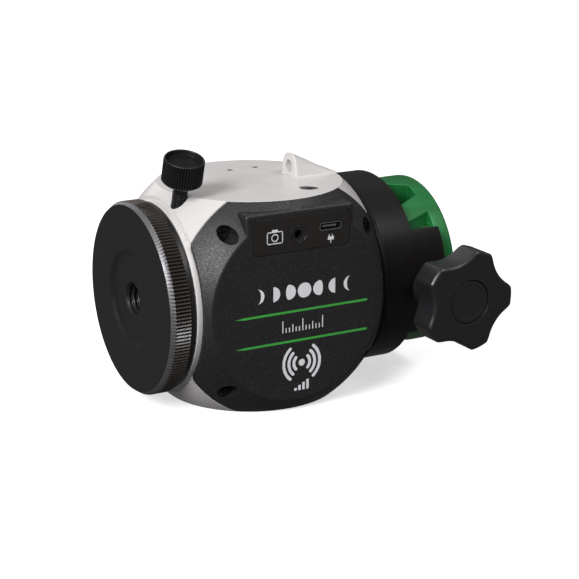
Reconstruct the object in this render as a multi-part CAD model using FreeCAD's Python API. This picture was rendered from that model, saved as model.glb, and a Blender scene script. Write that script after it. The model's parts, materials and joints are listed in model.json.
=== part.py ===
import FreeCAD, Part
import math
import os

# Star tracker mount, millimetres.  +X runs along the polar axis from the tripod
# adapter to the turning platform, -Y is the side with the ports, +Z is up.  The
# origin is the mouth of the tripod thread, on the floor of the adapter's recess.

V = FreeCAD.Vector

# Housing: a ball cut flat on six sides
BALL_X, BALL_R = 40.4, 43.6
WALL = 2.5
FRONT_X, REAR_X = 9.2, 70.2
TOP_Z, BASE_Z = 32.65, -33.95
SIDE_Y = 32.0
SEAM_Y = 21.8
COLLAR_X, COLLAR_R = 7.6, 29.3
LID_RIM_T, LID_CORE_T, LID_CORE_INSET = 0.45, 1.0, 0.9
CAVITY_X0, CAVITY_X1 = 25.0, 67.0
RUN_FIT = 0.05
REAR_BOSS_R, FRONT_BOSS_R, RETAINER_R = 20.4, 11.5, 17.4

# Top flat: sighting fin (x, half width, height, arch rise), cover screw, accessory holes
FIN_FRONT, FIN_REAR = (54.5, 4.6, 7.35, 3.4), (69.9, 4.3, 0.3, 1.0)
SIGHT_R, SIGHT_Z = 2.1, 35.5
TOP_SCREW_X, TOP_SCREW_Y, TOP_HEAD_R, TOP_HEAD_H = 51.4, -18.1, 2.75, 1.2
TOP_RECESS_R, TOP_RECESS_DEPTH = 3.0, 1.5
HOLE_PLACES, HOLE_R, HOLE_DEPTH = [(41.6, 15.1), (50.7, 15.1)], 1.0, 2.6

# Side covers and their screws (x, z)
COVER_WALL, COVER_INSET_X, COVER_INSET_Z = 2.3, 2.2, 2.4
SEAM_GAP = 0.05
BORE_R, BORE_BOSS_R, PILOT_R = 2.55, 4.0, 1.3
COVER_HEAD_R, COVER_HEAD_H, COVER_SHANK_R = 2.3, 1.6, 1.1
COVER_SCREWS = [(18.1, 24.2), (18.0, -24.5), (66.2, 20.8), (66.2, -21.0)]
SCREW_SEAT_Y, SCREW_TIP_Y = 23.3, 17.4
PAD_X0, PAD_X1, PAD_Z0, PAD_Z1, PAD_ROUND, PAD_EDGE = 22.3, 59.0, 9.0, 30.2, 1.2, 0.9
PANEL_X0, PANEL_X1, PANEL_Z0, PANEL_Z1, PANEL_ROUND = 24.5, 57.8, 17.5, 28.2, 1.6
PANEL_T, PANEL_GAP = 0.35, 0.1
JACK_X, JACK_Z, JACK_R, JACK_BORE_R = 39.9, 22.6, 2.75, 1.3
USB_X, USB_Z, USB_W, USB_H = 51.05, 23.7, 7.6, 2.6
PORT_GAP_R, USB_GAP = 0.15, 0.3

# Tripod adapter
DISC_R, DISC_REAR_R = 29.9, 29.1
DISC_X0, DISC_BAND_X, DISC_X1 = -1.0, 5.4, 7.4
BEVEL_X, BEVEL_R = 1.5, 1.0
RECESS_R, RECESS_FLOOR_R = 15.0, 13.7
THREAD_R, THREAD_DEPTH = 3.97, 14.0
SPIGOT_R, SPIGOT_X1 = 20.5, 19.0
SOCKET_X1 = 19.5
POCKET_R, POCKET_X, CORE_R = 15.5, 9.2, 9.0
GROOVE_HALF, GROOVE_DEPTH = 2.6, 1.2

# Thumb screw, square to the polar axis and leaning towards the ports
THUMB_X, THUMB_TILT = 11.6, 17.0
THUMB_HEAD_R, THUMB_TOP, THUMB_HEAD_H = 6.2, 47.0, 8.2
THUMB_SHANK_R, THUMB_TIP = 2.5, 22.6
THUMB_PAD_END, THUMB_PAD_R, THUMB_PAD_TIP_R = 20.85, 2.2, 1.1
THUMB_DISH_R, THUMB_DISH_DEPTH, THUMB_FILLET = 5.6, 1.8, 0.3
THUMB_COLLAR_R, THUMB_COLLAR_H = 3.3, 1.0

# Polar shaft and its bearings
FRONT_BRG_X0, FRONT_BRG_X1 = 22.1, 27.0
REAR_BRG_X0, REAR_BRG_X1 = 65.0, 69.0
FRONT_BRG_R, REAR_BRG_R = 9.5, 18.5
SHAFT_R, HUB_R, SEAT_R, COLLAR_SHAFT_R = 5.0, 9.0, 15.0, 16.0
SHAFT_X0, HUB_X0, SEAT_X0, SHAFT_X1 = 22.4, 50.0, 64.9, 77.0

# Worm drive and motor
MODULE, WHEEL_TEETH = 0.55, 72
WHEEL_X0, WHEEL_X1 = 57.0, 61.0
WORM_R, WORM_HALF, WORM_END = 4.0, 6.0, 1.2
WORM_PHASE = 90.0
BACKLASH = 0.14
PITCH = math.pi * MODULE
WHEEL_R = MODULE * WHEEL_TEETH / 2
WORM_X = (WHEEL_X0 + WHEEL_X1) / 2
WORM_Z = -(WHEEL_R + WORM_R)
SPUR_MODULE, SPUR_TEETH = 0.5, 22
SPUR_R = SPUR_MODULE * SPUR_TEETH / 2
MOTOR_X = WORM_X - 2 * SPUR_R
SPUR_Y0, SPUR_Y1 = -17.0, -13.2
BUSH_R, WORM_SHAFT_R = 2.6, 1.5

# Platform with its dovetail channel, clamp and puck
PLAT_R, PLAT_X0, FLOOR_X, JAW_X = 30.5, 70.9, 84.4, 94.7
PLAT_BEVEL_X, PLAT_BEVEL_R = 1.9, 1.2
DOVE_HALF_BASE, DOVE_SLOPE = 21.0, 0.25
FLANK_GAP = 0.1
JAW_Y = 25.3
CLAMP_X = 87.9
SHOE_Y, SHOE_HALF_Z = 24.0, 15.5
CLAMP_SCREW_R, CLAMP_SCREW_END = 3.0, -50.5
KNOB_R, KNOB_Y0, KNOB_Y1, KNOB_TURN = 15.9, 43.4, 53.2, -1.2
KNOB_LOBES, SCALLOP_R, SCALLOP_FLOOR_R, LOBE_ROUND, KNOB_CHAMFER = 5, 12.6, 12.9, 1.6, 0.8
KNOB_HUB_R, KNOB_HUB_Y = 7.2, 32.2
CAP_R, CAP_RECESS_R, CAP_RECESS_DEPTH, CAP_SINK, CAP_ROUND = 6.75, 6.9, 1.2, 0.35, 0.3
SHOE_PIN_R, SHOE_PIN_DEPTH = 1.25, 1.8
PUCK_R, PUCK_X0, PUCK_RIM_X, PUCK_X1 = 27.3, 84.8, 95.0, 100.3
PUCK_GROOVE_Y, PUCK_GROOVE_MOUTH, PUCK_GROOVE_FLOOR = 9.65, 6.9, 2.6
STUD_R, STUD_X1 = 4.76, 110.3
STUD_SHANK_R, STUD_HEAD_R, STUD_HEAD_X1 = 4.4, 6.2, 88.8
STUD_SOCKET_R, STUD_SOCKET_DEPTH, STUD_CHAMFER = 2.9, 2.8, 0.8
STUD_RELIEF_R, STUD_RELIEF_DEPTH = 5.2, 0.5
PLAT_SCREW_AT, PLAT_SCREW_R, PLAT_HEAD_R, PLAT_HEAD_X = 8.0, 1.5, 2.75, 81.2

# Cells, battery door and button side
CELL_R, CELL_HALF, CELL_Y, CELL_PITCH = 7.2, 25.25, 22.2, 14.7
TRAY_X0, TRAY_X1, TRAY_Y0 = 25.3, 56.3, 13.6
DOOR_X, DOOR_HALF_X, DOOR_HALF_Z, DOOR_ROUND, DOOR_T, DOOR_GAP = 41.3, 14.7, 26.4, 4.0, 1.35, 0.2
GRIP_COUNT, GRIP_Z, GRIP_PITCH, GRIP_W, GRIP_HALF, GRIP_DEPTH = 5, 16.0, 1.6, 0.8, 5.0, 0.5
BUTTON_X, BUTTON_Z, BUTTON_R, BUTTON_PROUD = 63.0, -5.0, 3.35, 0.35
LED_Z, LED_R = 5.0, 1.5

# Electronics and small screws
BOARD_X0, BOARD_X1, BOARD_Z0, BOARD_Z1 = 26.0, 56.0, -20.0, 14.0
BOARD_Y0, BOARD_Y1 = -25.6, -24.0
BOARD_SCREWS = [(x, z) for x in (28.5, 53.5) for z in (-17.5, 11.5)]
BOARD_SCREW_R, BOARD_SCREW_TIP = 0.9, -29.0
BRACKET_SCREWS = [(WORM_X, -6.4), (WORM_X, 6.4)]
GUIDE_Z = 10.5
PORT_BOARD_LOW, PORT_BOARD_TOP = 25.0, 26.6
NUT_R, NUT_Z, NUT_H, NUT_BORE_R = 2.9, 23.0, 2.0, 1.25


def block(x0, x1, y0, y1, z0, z1):
    return Part.makeBox(x1 - x0, y1 - y0, z1 - z0, V(x0, y0, z0))


def rod(radius, start, end):
    start, end = V(*start), V(*end)
    return Part.makeCylinder(radius, (end - start).Length, start, end - start)


def rod_x(radius, x0, x1, y=0, z=0):
    return rod(radius, (x0, y, z), (x1, y, z))


def rod_y(radius, y0, y1, x=0, z=0):
    return rod(radius, (x, y0, z), (x, y1, z))


def rod_z(radius, z0, z1, x=0, y=0):
    return rod(radius, (x, y, z0), (x, y, z1))


def tube_x(outer, inner, x0, x1):
    return rod_x(outer, x0, x1).cut(rod_x(inner, x0 - 1, x1 + 1))


def ball(radius):
    return Part.makeSphere(radius, V(BALL_X, 0, 0), V(0, 0, 1), -90, 90, 360)


def turned_x(profile):
    """Solid of revolution about the polar axis from (x, radius) points."""
    points = [V(x, 0, r) for x, r in profile]
    face = Part.Face(Part.makePolygon(points + points[:1]))
    return face.revolve(V(0, 0, 0), V(1, 0, 0), 360)


def prism(points, direction):
    corners = [V(*p) for p in points]
    return Part.Face(Part.makePolygon(corners + corners[:1])).extrude(V(*direction))


def rounded_plate(x0, x1, z0, z1, radius, y0, y1):
    """Plate in the XZ plane with four rounded corners, from y0 to y1."""
    plate = block(x0, x1, y0, y1, z0, z1)
    edges = [e for e in plate.Edges if abs(e.tangentAt(e.FirstParameter).y) > 0.9]
    return plate.makeFillet(radius, edges)


def merge(shapes):
    return shapes[0].multiFuse(shapes[1:]).removeSplitter()


def save(name, *solids):
    shape = solids[0] if len(solids) == 1 else Part.makeCompound(list(solids))
    shape.exportStep("parts/%s.step" % name)
    volume = sum(s.Volume for s in shape.Solids)
    print("%-24s %2d solid(s) %10.1f mm3 valid %s"
          % (name, len(shape.Solids), volume, shape.isValid()))


def cross_head(radius, height, start, end):
    """Screw head along start-end with a cross recess in its far face."""
    start, end = V(*start), V(*end)
    axis = (end - start).normalize()
    head = Part.makeCylinder(radius, height, start, axis)
    arm = Part.makeBox(radius * 1.3, 0.45, 1.0, V(-radius * 0.65, -0.225, height - 0.8))
    other = arm.copy()
    other.rotate(V(0, 0, 0), V(0, 0, 1), 90)
    cross = arm.fuse(other)
    cross.Placement = FreeCAD.Placement(start, FreeCAD.Rotation(V(0, 0, 1), axis))
    return head.cut(cross)


# ---- housing -------------------------------------------------------------

def sight_fin():
    """Sighting fin on the top flat, falling away towards the platform."""
    def arch(x, half, height, rise):
        low, spring = TOP_Z - 1.5, TOP_Z + height - rise
        a, b = V(x, -half, low), V(x, half, low)
        c, d = V(x, half * 0.8, spring), V(x, -half * 0.8, spring)
        crown = V(x, 0, TOP_Z + height)
        edges = [Part.LineSegment(a, b).toShape(), Part.LineSegment(b, c).toShape(),
                 Part.Arc(c, crown, d).toShape(), Part.LineSegment(d, a).toShape()]
        return Part.Wire(edges)
    fin = Part.makeLoft([arch(*FIN_FRONT), arch(*FIN_REAR)], True)
    return fin.cut(rod_x(SIGHT_R, FIN_FRONT[0] - 2, FIN_REAR[0] + 2, 0, SIGHT_Z))


def thumb_point(distance, x=THUMB_X):
    lean = math.radians(THUMB_TILT)
    return (x, -distance * math.sin(lean), distance * math.cos(lean))


def lid(gap=0.0):
    """White disc that makes the whole top flat; the covers stop under its rim."""
    rim = math.sqrt(BALL_R ** 2 - TOP_Z ** 2)
    core, low, core_low = rim - LID_CORE_INSET + gap, LID_RIM_T + gap, LID_CORE_T + gap
    profile = [(0, TOP_Z), (0, TOP_Z - core_low), (core, TOP_Z - core_low),
               (core, TOP_Z - low), (rim + 3, TOP_Z - low), (rim + 3, TOP_Z)]
    points = [V(BALL_X + r, 0, z) for r, z in profile]
    face = Part.Face(Part.makePolygon(points + points[:1]))
    disc = face.revolve(V(BALL_X, 0, 0), V(0, 0, 1), 360)
    return disc.common(block(FRONT_X, REAR_X, -SIDE_Y, SIDE_Y, 0, TOP_Z))


def main_body():
    outer = ball(BALL_R).common(block(FRONT_X, REAR_X, -SEAM_Y, SEAM_Y, BASE_Z, TOP_Z))
    outer = outer.fuse(rod_x(COLLAR_R, COLLAR_X, FRONT_X)).fuse(lid().common(ball(BALL_R)))
    cavity = ball(BALL_R - WALL).common(
        block(CAVITY_X0, CAVITY_X1, -SEAM_Y - 1, SEAM_Y + 1, BASE_Z + WALL, TOP_Z - WALL))
    boss = rod_x(REAR_BOSS_R, REAR_BRG_X0 - 2.5, REAR_X)
    posts = [rod_y(3.4, side * SCREW_TIP_Y, side * SEAM_Y, x, z)
             for x, z in COVER_SCREWS[2:] for side in (-1, 1)]
    front_boss = rod_x(FRONT_BOSS_R, CAVITY_X0 - 1, FRONT_BRG_X1)
    screw_boss = rod_z(3.6, PORT_BOARD_TOP + 0.1, TOP_Z - 1, TOP_SCREW_X, TOP_SCREW_Y)
    pads = [rod_z(2.4, TOP_Z - HOLE_DEPTH - 1.15, TOP_Z - 1, x, y) for x, y in HOLE_PLACES]
    body = merge([outer.cut(cavity), boss, front_boss, screw_boss, sight_fin()] + posts + pads)
    holes = [
        rod_x(SPIGOT_R + RUN_FIT, COLLAR_X - 1, SOCKET_X1),
        rod_x(FRONT_BRG_R, FRONT_BRG_X0 - 0.1, FRONT_BRG_X1 + 1),
        rod_x(RETAINER_R, REAR_BRG_X0 - 5, REAR_X + 1),
        rod_x(REAR_BRG_R, REAR_BRG_X0, REAR_X + 1),
        rod_z(TOP_RECESS_R, TOP_Z - TOP_RECESS_DEPTH, TOP_Z + 1, TOP_SCREW_X, TOP_SCREW_Y),
        rod_z(1.35, 20, TOP_Z, TOP_SCREW_X, TOP_SCREW_Y),
        rod(THUMB_SHANK_R + RUN_FIT, thumb_point(19), thumb_point(40)),
    ]
    holes += [rod_z(HOLE_R, TOP_Z - HOLE_DEPTH, TOP_Z + 1, x, y) for x, y in HOLE_PLACES]
    for side in (-1, 1):
        holes += [rod_y(COVER_SHANK_R, side * (SCREW_TIP_Y + 0.3), side * (SEAM_Y + 1), x, z)
                  for x, z in COVER_SCREWS]
    holes += [rod_z(1.1, BASE_Z + 0.9, BASE_Z + WALL + 0.2, x, y) for x, y in BRACKET_SCREWS]
    for hole in holes:
        body = body.cut(hole)
    return body


def side_span(side, near, far):
    """Y range from near to far on one side of the housing, in rising order."""
    return sorted((side * near, side * far))


def cover_cap(side):
    """The ball's cap outside the seam, before it is hollowed."""
    y0, y1 = side_span(side, SEAM_Y + SEAM_GAP, SIDE_Y)
    cap = ball(BALL_R).common(block(FRONT_X, REAR_X, y0, y1, BASE_Z, TOP_Z))
    return cap.cut(lid(SEAM_GAP))


def cover_hollow(side):
    y0, y1 = side_span(side, SEAM_Y - 1, SIDE_Y - COVER_WALL)
    return ball(BALL_R - WALL).common(
        block(FRONT_X + COVER_INSET_X, REAR_X - COVER_INSET_X, y0, y1,
              BASE_Z + COVER_INSET_Z, TOP_Z - COVER_INSET_Z))


def with_screw_bores(cover, side):
    cap = cover_cap(side)
    for x, z in COVER_SCREWS:
        boss = rod_y(BORE_BOSS_R, side * (SEAM_Y + SEAM_GAP), side * SIDE_Y, x, z)
        cover = cover.fuse(boss.common(cap))
    for x, z in COVER_SCREWS:
        cover = cover.cut(rod_y(BORE_R, side * SCREW_SEAT_Y, side * (SIDE_Y + 2), x, z))
        cover = cover.cut(rod_y(PILOT_R, side * 20, side * (SIDE_Y + 2), x, z))
    return cover


def port_cover():
    y0, y1 = side_span(-1, SEAM_Y + SEAM_GAP, SIDE_Y)
    pad = rounded_plate(PAD_X0, PAD_X1, PAD_Z0, PAD_Z1, PAD_ROUND, y0, y1)
    rim = [e for e in pad.Edges if abs(e.CenterOfMass.y + SIDE_Y) < 0.01]
    pad = pad.makeChamfer(PAD_EDGE, rim)
    i0, i1 = side_span(-1, SEAM_Y - 1, SIDE_Y - COVER_WALL)
    pad_hollow = block(PAD_X0 + 2.2, PAD_X1 - 2.2, i0, i1, PAD_Z0 + 2.0, PAD_Z1 - 2.1)
    cover = cover_cap(-1).fuse(pad).cut(cover_hollow(-1)).cut(pad_hollow)
    cover = with_screw_bores(cover, -1)
    gap = PANEL_GAP
    recess = rounded_plate(PANEL_X0 - gap, PANEL_X1 + gap, PANEL_Z0 - gap, PANEL_Z1 + gap,
                           PANEL_ROUND + gap, y0 - 1, y0 + PANEL_T)
    cover = cover.cut(recess).cut(jack_hole()).cut(usb_slot())
    posts = [rod_y(2.2, -SIDE_Y + 1.5, BOARD_Y0, x, z) for x, z in BOARD_SCREWS]
    cover = merge([cover] + posts)
    for x, z in BOARD_SCREWS:
        cover = cover.cut(rod_y(BOARD_SCREW_R, BOARD_SCREW_TIP - 0.5, BOARD_Y0 + 1, x, z))
    return cover


def jack_hole():
    return rod_y(JACK_R + PORT_GAP_R, -SIDE_Y - 2, -28, JACK_X, JACK_Z)


def usb_slot():
    half_w, half_h = USB_W / 2 + USB_GAP, USB_H / 2 + USB_GAP
    return rounded_plate(USB_X - half_w, USB_X + half_w, USB_Z - half_h, USB_Z + half_h,
                         1.0, -SIDE_Y - 2, -28)


def battery_cover():
    cover = with_screw_bores(cover_cap(1).cut(cover_hollow(1)), 1)
    rebate = rounded_plate(DOOR_X - DOOR_HALF_X, DOOR_X + DOOR_HALF_X, -DOOR_HALF_Z, DOOR_HALF_Z,
                           DOOR_ROUND, SIDE_Y - DOOR_T - 0.05, SIDE_Y + 1)
    opening = rounded_plate(DOOR_X - DOOR_HALF_X + 1.1, DOOR_X + DOOR_HALF_X - 1.1,
                            -DOOR_HALF_Z + 0.6, DOOR_HALF_Z - 0.6, 3.0, 27, SIDE_Y + 1)
    cover = cover.cut(rebate).cut(opening)
    cover = cover.cut(rod_y(BUTTON_R + 0.25, 27, SIDE_Y + 2, BUTTON_X, BUTTON_Z))
    return cover.cut(rod_y(LED_R + 0.1, 27, SIDE_Y + 2, BUTTON_X, LED_Z))


def battery_door():
    gap = DOOR_GAP
    plate = rounded_plate(DOOR_X - DOOR_HALF_X + gap, DOOR_X + DOOR_HALF_X - gap,
                          -DOOR_HALF_Z + gap, DOOR_HALF_Z - gap, DOOR_ROUND - gap,
                          SIDE_Y - DOOR_T, SIDE_Y)
    rails = [block(x, x + 1, 29.2, SIDE_Y - 1, -19, 19) for x in (DOOR_X - 13.2, DOOR_X + 12.2)]
    door = merge([plate] + rails)
    for k in range(GRIP_COUNT):
        z = GRIP_Z + GRIP_PITCH * k
        door = door.cut(block(DOOR_X - GRIP_HALF, DOOR_X + GRIP_HALF, SIDE_Y - GRIP_DEPTH,
                              SIDE_Y + 1, z, z + GRIP_W))
    return door


def port_panel():
    panel = rounded_plate(PANEL_X0, PANEL_X1, PANEL_Z0, PANEL_Z1, PANEL_ROUND,
                          -SIDE_Y, -SIDE_Y + PANEL_T)
    return panel.cut(jack_hole()).cut(usb_slot())


def cover_screws(side):
    seat, tip = side * SCREW_SEAT_Y, side * (SCREW_TIP_Y + 0.4)
    screws = []
    for x, z in COVER_SCREWS:
        head = cross_head(COVER_HEAD_R, COVER_HEAD_H, (x, seat, z), (x, side * SIDE_Y, z))
        screws.append(merge([head, rod_y(COVER_SHANK_R, tip, seat + side * 0.3, x, z)]))
    return screws


def top_screw():
    seat = TOP_Z - TOP_RECESS_DEPTH
    head = cross_head(TOP_HEAD_R, TOP_HEAD_H, (TOP_SCREW_X, TOP_SCREW_Y, seat),
                      (TOP_SCREW_X, TOP_SCREW_Y, TOP_Z))
    shank = rod_z(NUT_BORE_R, NUT_Z + 0.2, seat + 0.3, TOP_SCREW_X, TOP_SCREW_Y)
    return merge([head, shank])


# ---- electronics ---------------------------------------------------------

def main_board():
    board = block(BOARD_X0, BOARD_X1, BOARD_Y0, BOARD_Y1, BOARD_Z0, BOARD_Z1)
    for x, z in BOARD_SCREWS:
        board = board.cut(rod_y(1.1, BOARD_Y0 - 1, BOARD_Y1 + 1, x, z))
    return board


def board_chips():
    def chip(x, z, width, depth, height):
        return block(x, x + width, BOARD_Y1, BOARD_Y1 + height, z, z + depth)
    chips = [chip(44, -12, 7, 7, 1.0), chip(33, -13, 5, 4, 1.2), chip(45, 2, 4, 5, 1.4)]
    chips += [chip(29.5 + 3 * k, -7, 1.6, 0.8, 0.6) for k in range(4)]
    chips.append(rod_y(2.0, BOARD_Y1, BOARD_Y1 + 3.0, 34, -17))
    return chips


def board_screws():
    return [merge([cross_head(1.8, 1.2, (x, BOARD_Y1, z), (x, 0, z)),
                   rod_y(BOARD_SCREW_R, BOARD_SCREW_TIP, BOARD_Y1 + 0.2, x, z)])
            for x, z in BOARD_SCREWS]


def wifi_module():
    return block(31, 43, BOARD_Y1, BOARD_Y1 + 2.2, -4, 12)


def port_board():
    board = block(33, 56.5, -27.9, -12, PORT_BOARD_LOW, PORT_BOARD_TOP)
    return board.cut(rod_z(1.35, 20, 30, TOP_SCREW_X, TOP_SCREW_Y))


def board_nut():
    points = [(TOP_SCREW_X + NUT_R * math.cos(math.radians(60 * k)),
               TOP_SCREW_Y + NUT_R * math.sin(math.radians(60 * k)), NUT_Z) for k in range(6)]
    return prism(points, (0, 0, NUT_H)).cut(rod_z(NUT_BORE_R, 20, 30, TOP_SCREW_X, TOP_SCREW_Y))


def snap_jack():
    body = block(JACK_X - 3.1, JACK_X + 3.1, -28.6, -17, JACK_Z - 2.4, PORT_BOARD_LOW)
    jack = merge([body, rod_y(JACK_R, -SIDE_Y + 0.1, -28, JACK_X, JACK_Z)])
    return jack.cut(rod_y(JACK_BORE_R, -SIDE_Y - 2, -20, JACK_X, JACK_Z))


def usb_socket():
    def shell(inset, y1):
        return rounded_plate(USB_X - USB_W / 2 + inset, USB_X + USB_W / 2 - inset,
                             USB_Z - USB_H / 2 + inset, USB_Z + USB_H / 2 - inset,
                             0.9 - inset, -SIDE_Y + 0.2, y1)
    socket = shell(0, -25.8).cut(shell(0.3, -26.4))
    return socket.fuse(block(USB_X - 2.4, USB_X + 2.4, -31.0, -26.0, USB_Z - 0.3, USB_Z + 0.3))


def switch_board():
    return block(57.6, 68.0, 24.2, 25.4, -9, 9)


def power_switch():
    return block(BUTTON_X - 3, BUTTON_X + 3, 25.4, 28.0, BUTTON_Z - 3, BUTTON_Z + 3)


def power_button():
    top = SIDE_Y + BUTTON_PROUD
    cap = rod_y(BUTTON_R, 29.0, top, BUTTON_X, BUTTON_Z)
    edge = [e for e in cap.Edges if abs(e.CenterOfMass.y - top) < 0.01]
    cap = cap.makeFillet(0.3, edge[:1])
    return cap.fuse(rod_y(BUTTON_R + 0.8, 28.75, 29.45, BUTTON_X, BUTTON_Z))


def status_led():
    spring_y = SIDE_Y - 0.9
    lens = rod_y(LED_R, 25.4, SIDE_Y - 0.2, BUTTON_X, LED_Z)
    dome = Part.makeSphere(LED_R, V(BUTTON_X, spring_y, LED_Z))
    return merge([rod_y(LED_R, 25.4, spring_y, BUTTON_X, LED_Z), dome.common(lens)])


# ---- batteries -----------------------------------------------------------

def cell_centres():
    middle = (TRAY_X0 + TRAY_X1) / 2
    return [middle - CELL_PITCH / 2, middle + CELL_PITCH / 2]


def aa_cells():
    cells = []
    for k, x in enumerate(cell_centres()):
        up = 1 - 2 * k
        can = rod_z(CELL_R, -CELL_HALF + (0.0 if up > 0 else 1.2),
                    CELL_HALF - (1.2 if up > 0 else 0.0), x, CELL_Y)
        nub = rod_z(2.7, up * (CELL_HALF - 1.5), up * CELL_HALF, x, CELL_Y)
        cells.append(merge([can, nub]))
    return cells


def battery_tray():
    tray = block(TRAY_X0, TRAY_X1, TRAY_Y0, 24.4, -28.6, 28.6)
    tray = tray.cut(block(TRAY_X0 + 0.8, TRAY_X1 - 0.8, TRAY_Y0 + 1.0, 30, -28.0, 28.0))
    centre = (TRAY_X0 + TRAY_X1) / 2
    return tray.fuse(block(centre - 0.4, centre + 0.4, TRAY_Y0 + 0.5, TRAY_Y0 + 2.6, -24, 24))


def battery_contacts():
    pieces = []
    for end in (-1, 1):
        plate_z = end * 27.6
        z0, z1 = sorted((plate_z, end * 28.0))
        x0, x1 = cell_centres()
        if end > 0:
            pieces.append(block(x0 - 5, x1 + 5, 16.0, 23.6, z0, z1))
        else:
            pieces += [block(x - 5, x + 5, 16.0, 23.6, z0, z1) for x in (x0, x1)]
    for k, x in enumerate(cell_centres()):
        end = -1 if k == 0 else 1
        for turn in range(4):
            centre = V(x, CELL_Y - 2.4, end * (27.3 - 0.56 * turn))
            pieces.append(Part.makeTorus(3.6 - 0.55 * turn, 0.28, centre, V(0, 0, 1)))
    return pieces


# ---- bearings ------------------------------------------------------------

def bearing(x0, x1, bore, outer, orbit, ball_r, count, shoulder):
    """Outer ring, inner ring, cage and balls of a deep-groove bearing."""
    middle = (x0 + x1) / 2
    race = Part.makeTorus(orbit, ball_r + 0.06, V(middle, 0, 0), V(1, 0, 0))
    outer_ring = tube_x(outer, orbit + shoulder, x0, x1).cut(race)
    inner_ring = tube_x(orbit - shoulder, bore, x0, x1).cut(race)
    balls, pockets = [], []
    for k in range(count):
        angle = 2 * math.pi * k / count
        outward = V(0, math.cos(angle), math.sin(angle))
        centre = V(middle, 0, 0) + outward * orbit
        balls.append(Part.makeSphere(ball_r, centre))
        pockets.append(Part.makeCylinder(ball_r + 0.08, 2, centre - outward, outward))
    cage = tube_x(orbit + shoulder * 0.5, orbit - shoulder * 0.5, middle - ball_r - 0.6,
                  middle + ball_r + 0.6)
    for pocket in pockets:
        cage = cage.cut(pocket)
    return outer_ring, inner_ring, cage, balls


# ---- polar drive ---------------------------------------------------------

def polar_shaft():
    shaft = turned_x([(SHAFT_X0, 0), (SHAFT_X0, SHAFT_R), (HUB_X0, SHAFT_R), (HUB_X0, HUB_R),
                      (SEAT_X0, HUB_R), (SEAT_X0, SEAT_R), (REAR_BRG_X1 + 0.1, SEAT_R),
                      (REAR_BRG_X1 + 0.1, COLLAR_SHAFT_R), (REAR_X + 0.1, COLLAR_SHAFT_R),
                      (REAR_X + 0.1, SEAT_R), (SHAFT_X1, SEAT_R), (SHAFT_X1, 0)])
    for y, z in platform_screw_places():
        shaft = shaft.cut(rod_x(PLAT_SCREW_R, 71.0, SHAFT_X1 + 1, y, z))
    return shaft


def shaft_nut():
    nut = tube_x(12.5, HUB_R, 53.2, WHEEL_X0)
    for k in range(4):
        slot = block(52, 58, -1.5, 1.5, 11, 14)
        slot.rotate(V(0, 0, 0), V(1, 0, 0), 90 * k + 45)
        nut = nut.cut(slot)
    return nut


def gear(teeth, module, x0, x1, backlash, tip=0.9):
    """Straight gear about X with straight-sided teeth; a tooth points to -Z."""
    radius = module * teeth / 2
    root = radius - 1.2 * module
    crest = radius + tip * module
    half = (math.pi * module / 2 - backlash) / 2
    slope = math.tan(math.radians(20))
    points = []
    for k in range(teeth):
        middle = -math.pi / 2 + 2 * math.pi * k / teeth
        for r in (root, crest):
            points.append((r, middle - (half - (r - radius) * slope) / r))
        for r in (crest, root):
            points.append((r, middle + (half - (r - radius) * slope) / r))
    corners = [(x0, r * math.cos(a), r * math.sin(a)) for r, a in points]
    return prism(corners, (x1 - x0, 0, 0))


def worm_wheel():
    rim = gear(WHEEL_TEETH, MODULE, WHEEL_X0, WHEEL_X1, BACKLASH)
    web = tube_x(16.5, 12.0, WHEEL_X0 - 1, WHEEL_X0 + 1.2)
    wheel = rim.cut(web).cut(tube_x(16.5, 12.0, WHEEL_X1 - 1.2, WHEEL_X1 + 1))
    wheel = merge([wheel, rod_x(12.0, WHEEL_X0, SEAT_X0)])
    return wheel.cut(rod_x(HUB_R, 50, 70))


def worm():
    """Single-start worm along Y under the wheel, with its shaft."""
    root = WORM_R - 1.2 * MODULE
    crest = WORM_R + 0.9 * MODULE
    slope = math.tan(math.radians(20))
    half = (PITCH / 2 - BACKLASH) / 2
    low, high = root - 0.15, crest
    half_low, half_high = half + (WORM_R - low) * slope, half - (high - WORM_R) * slope
    length = math.floor(2 * WORM_HALF / PITCH) * PITCH
    helix = Part.makeHelix(PITCH, length, WORM_R)
    profile = Part.makePolygon([V(low, 0, -half_low), V(high, 0, -half_high),
                                V(high, 0, half_high), V(low, 0, half_low), V(low, 0, -half_low)])
    thread = Part.Wire(helix.Edges).makePipeShell([profile], True, True)
    core = Part.makeCylinder(root, length + 2 * WORM_END, V(0, 0, -WORM_END))
    body = core.fuse(thread)
    body.translate(V(0, 0, -length / 2))
    body.rotate(V(0, 0, 0), V(1, 0, 0), -90)
    body.rotate(V(0, 0, 0), V(0, 1, 0), WORM_PHASE)
    body.translate(V(WORM_X, 0, WORM_Z))
    shaft = rod_y(WORM_SHAFT_R, SPUR_Y0 - 0.6, 12.2, WORM_X, WORM_Z)
    return body.fuse(shaft)


def spur(x, phase):
    wheel = gear(SPUR_TEETH, SPUR_MODULE, 0, SPUR_Y1 - SPUR_Y0, 0.12, 0.8)
    wheel.rotate(V(0, 0, 0), V(1, 0, 0), phase)
    wheel.rotate(V(0, 0, 0), V(0, 0, 1), 90)
    wheel.translate(V(x, SPUR_Y0, WORM_Z))
    return wheel.cut(rod_y(WORM_SHAFT_R, -20, 0, x, WORM_Z))


def motor_pinion():
    shaft = rod_y(WORM_SHAFT_R, SPUR_Y0 - 0.5, -9.0, MOTOR_X, WORM_Z)
    return merge([spur(MOTOR_X, 0), shaft])


def motor_gearbox():
    box = block(MOTOR_X - 6, MOTOR_X + 6, -8.5, 0.5, WORM_Z - 5, WORM_Z + 5)
    return box.cut(rod_y(1.6, -12, -6, MOTOR_X, WORM_Z))


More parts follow.
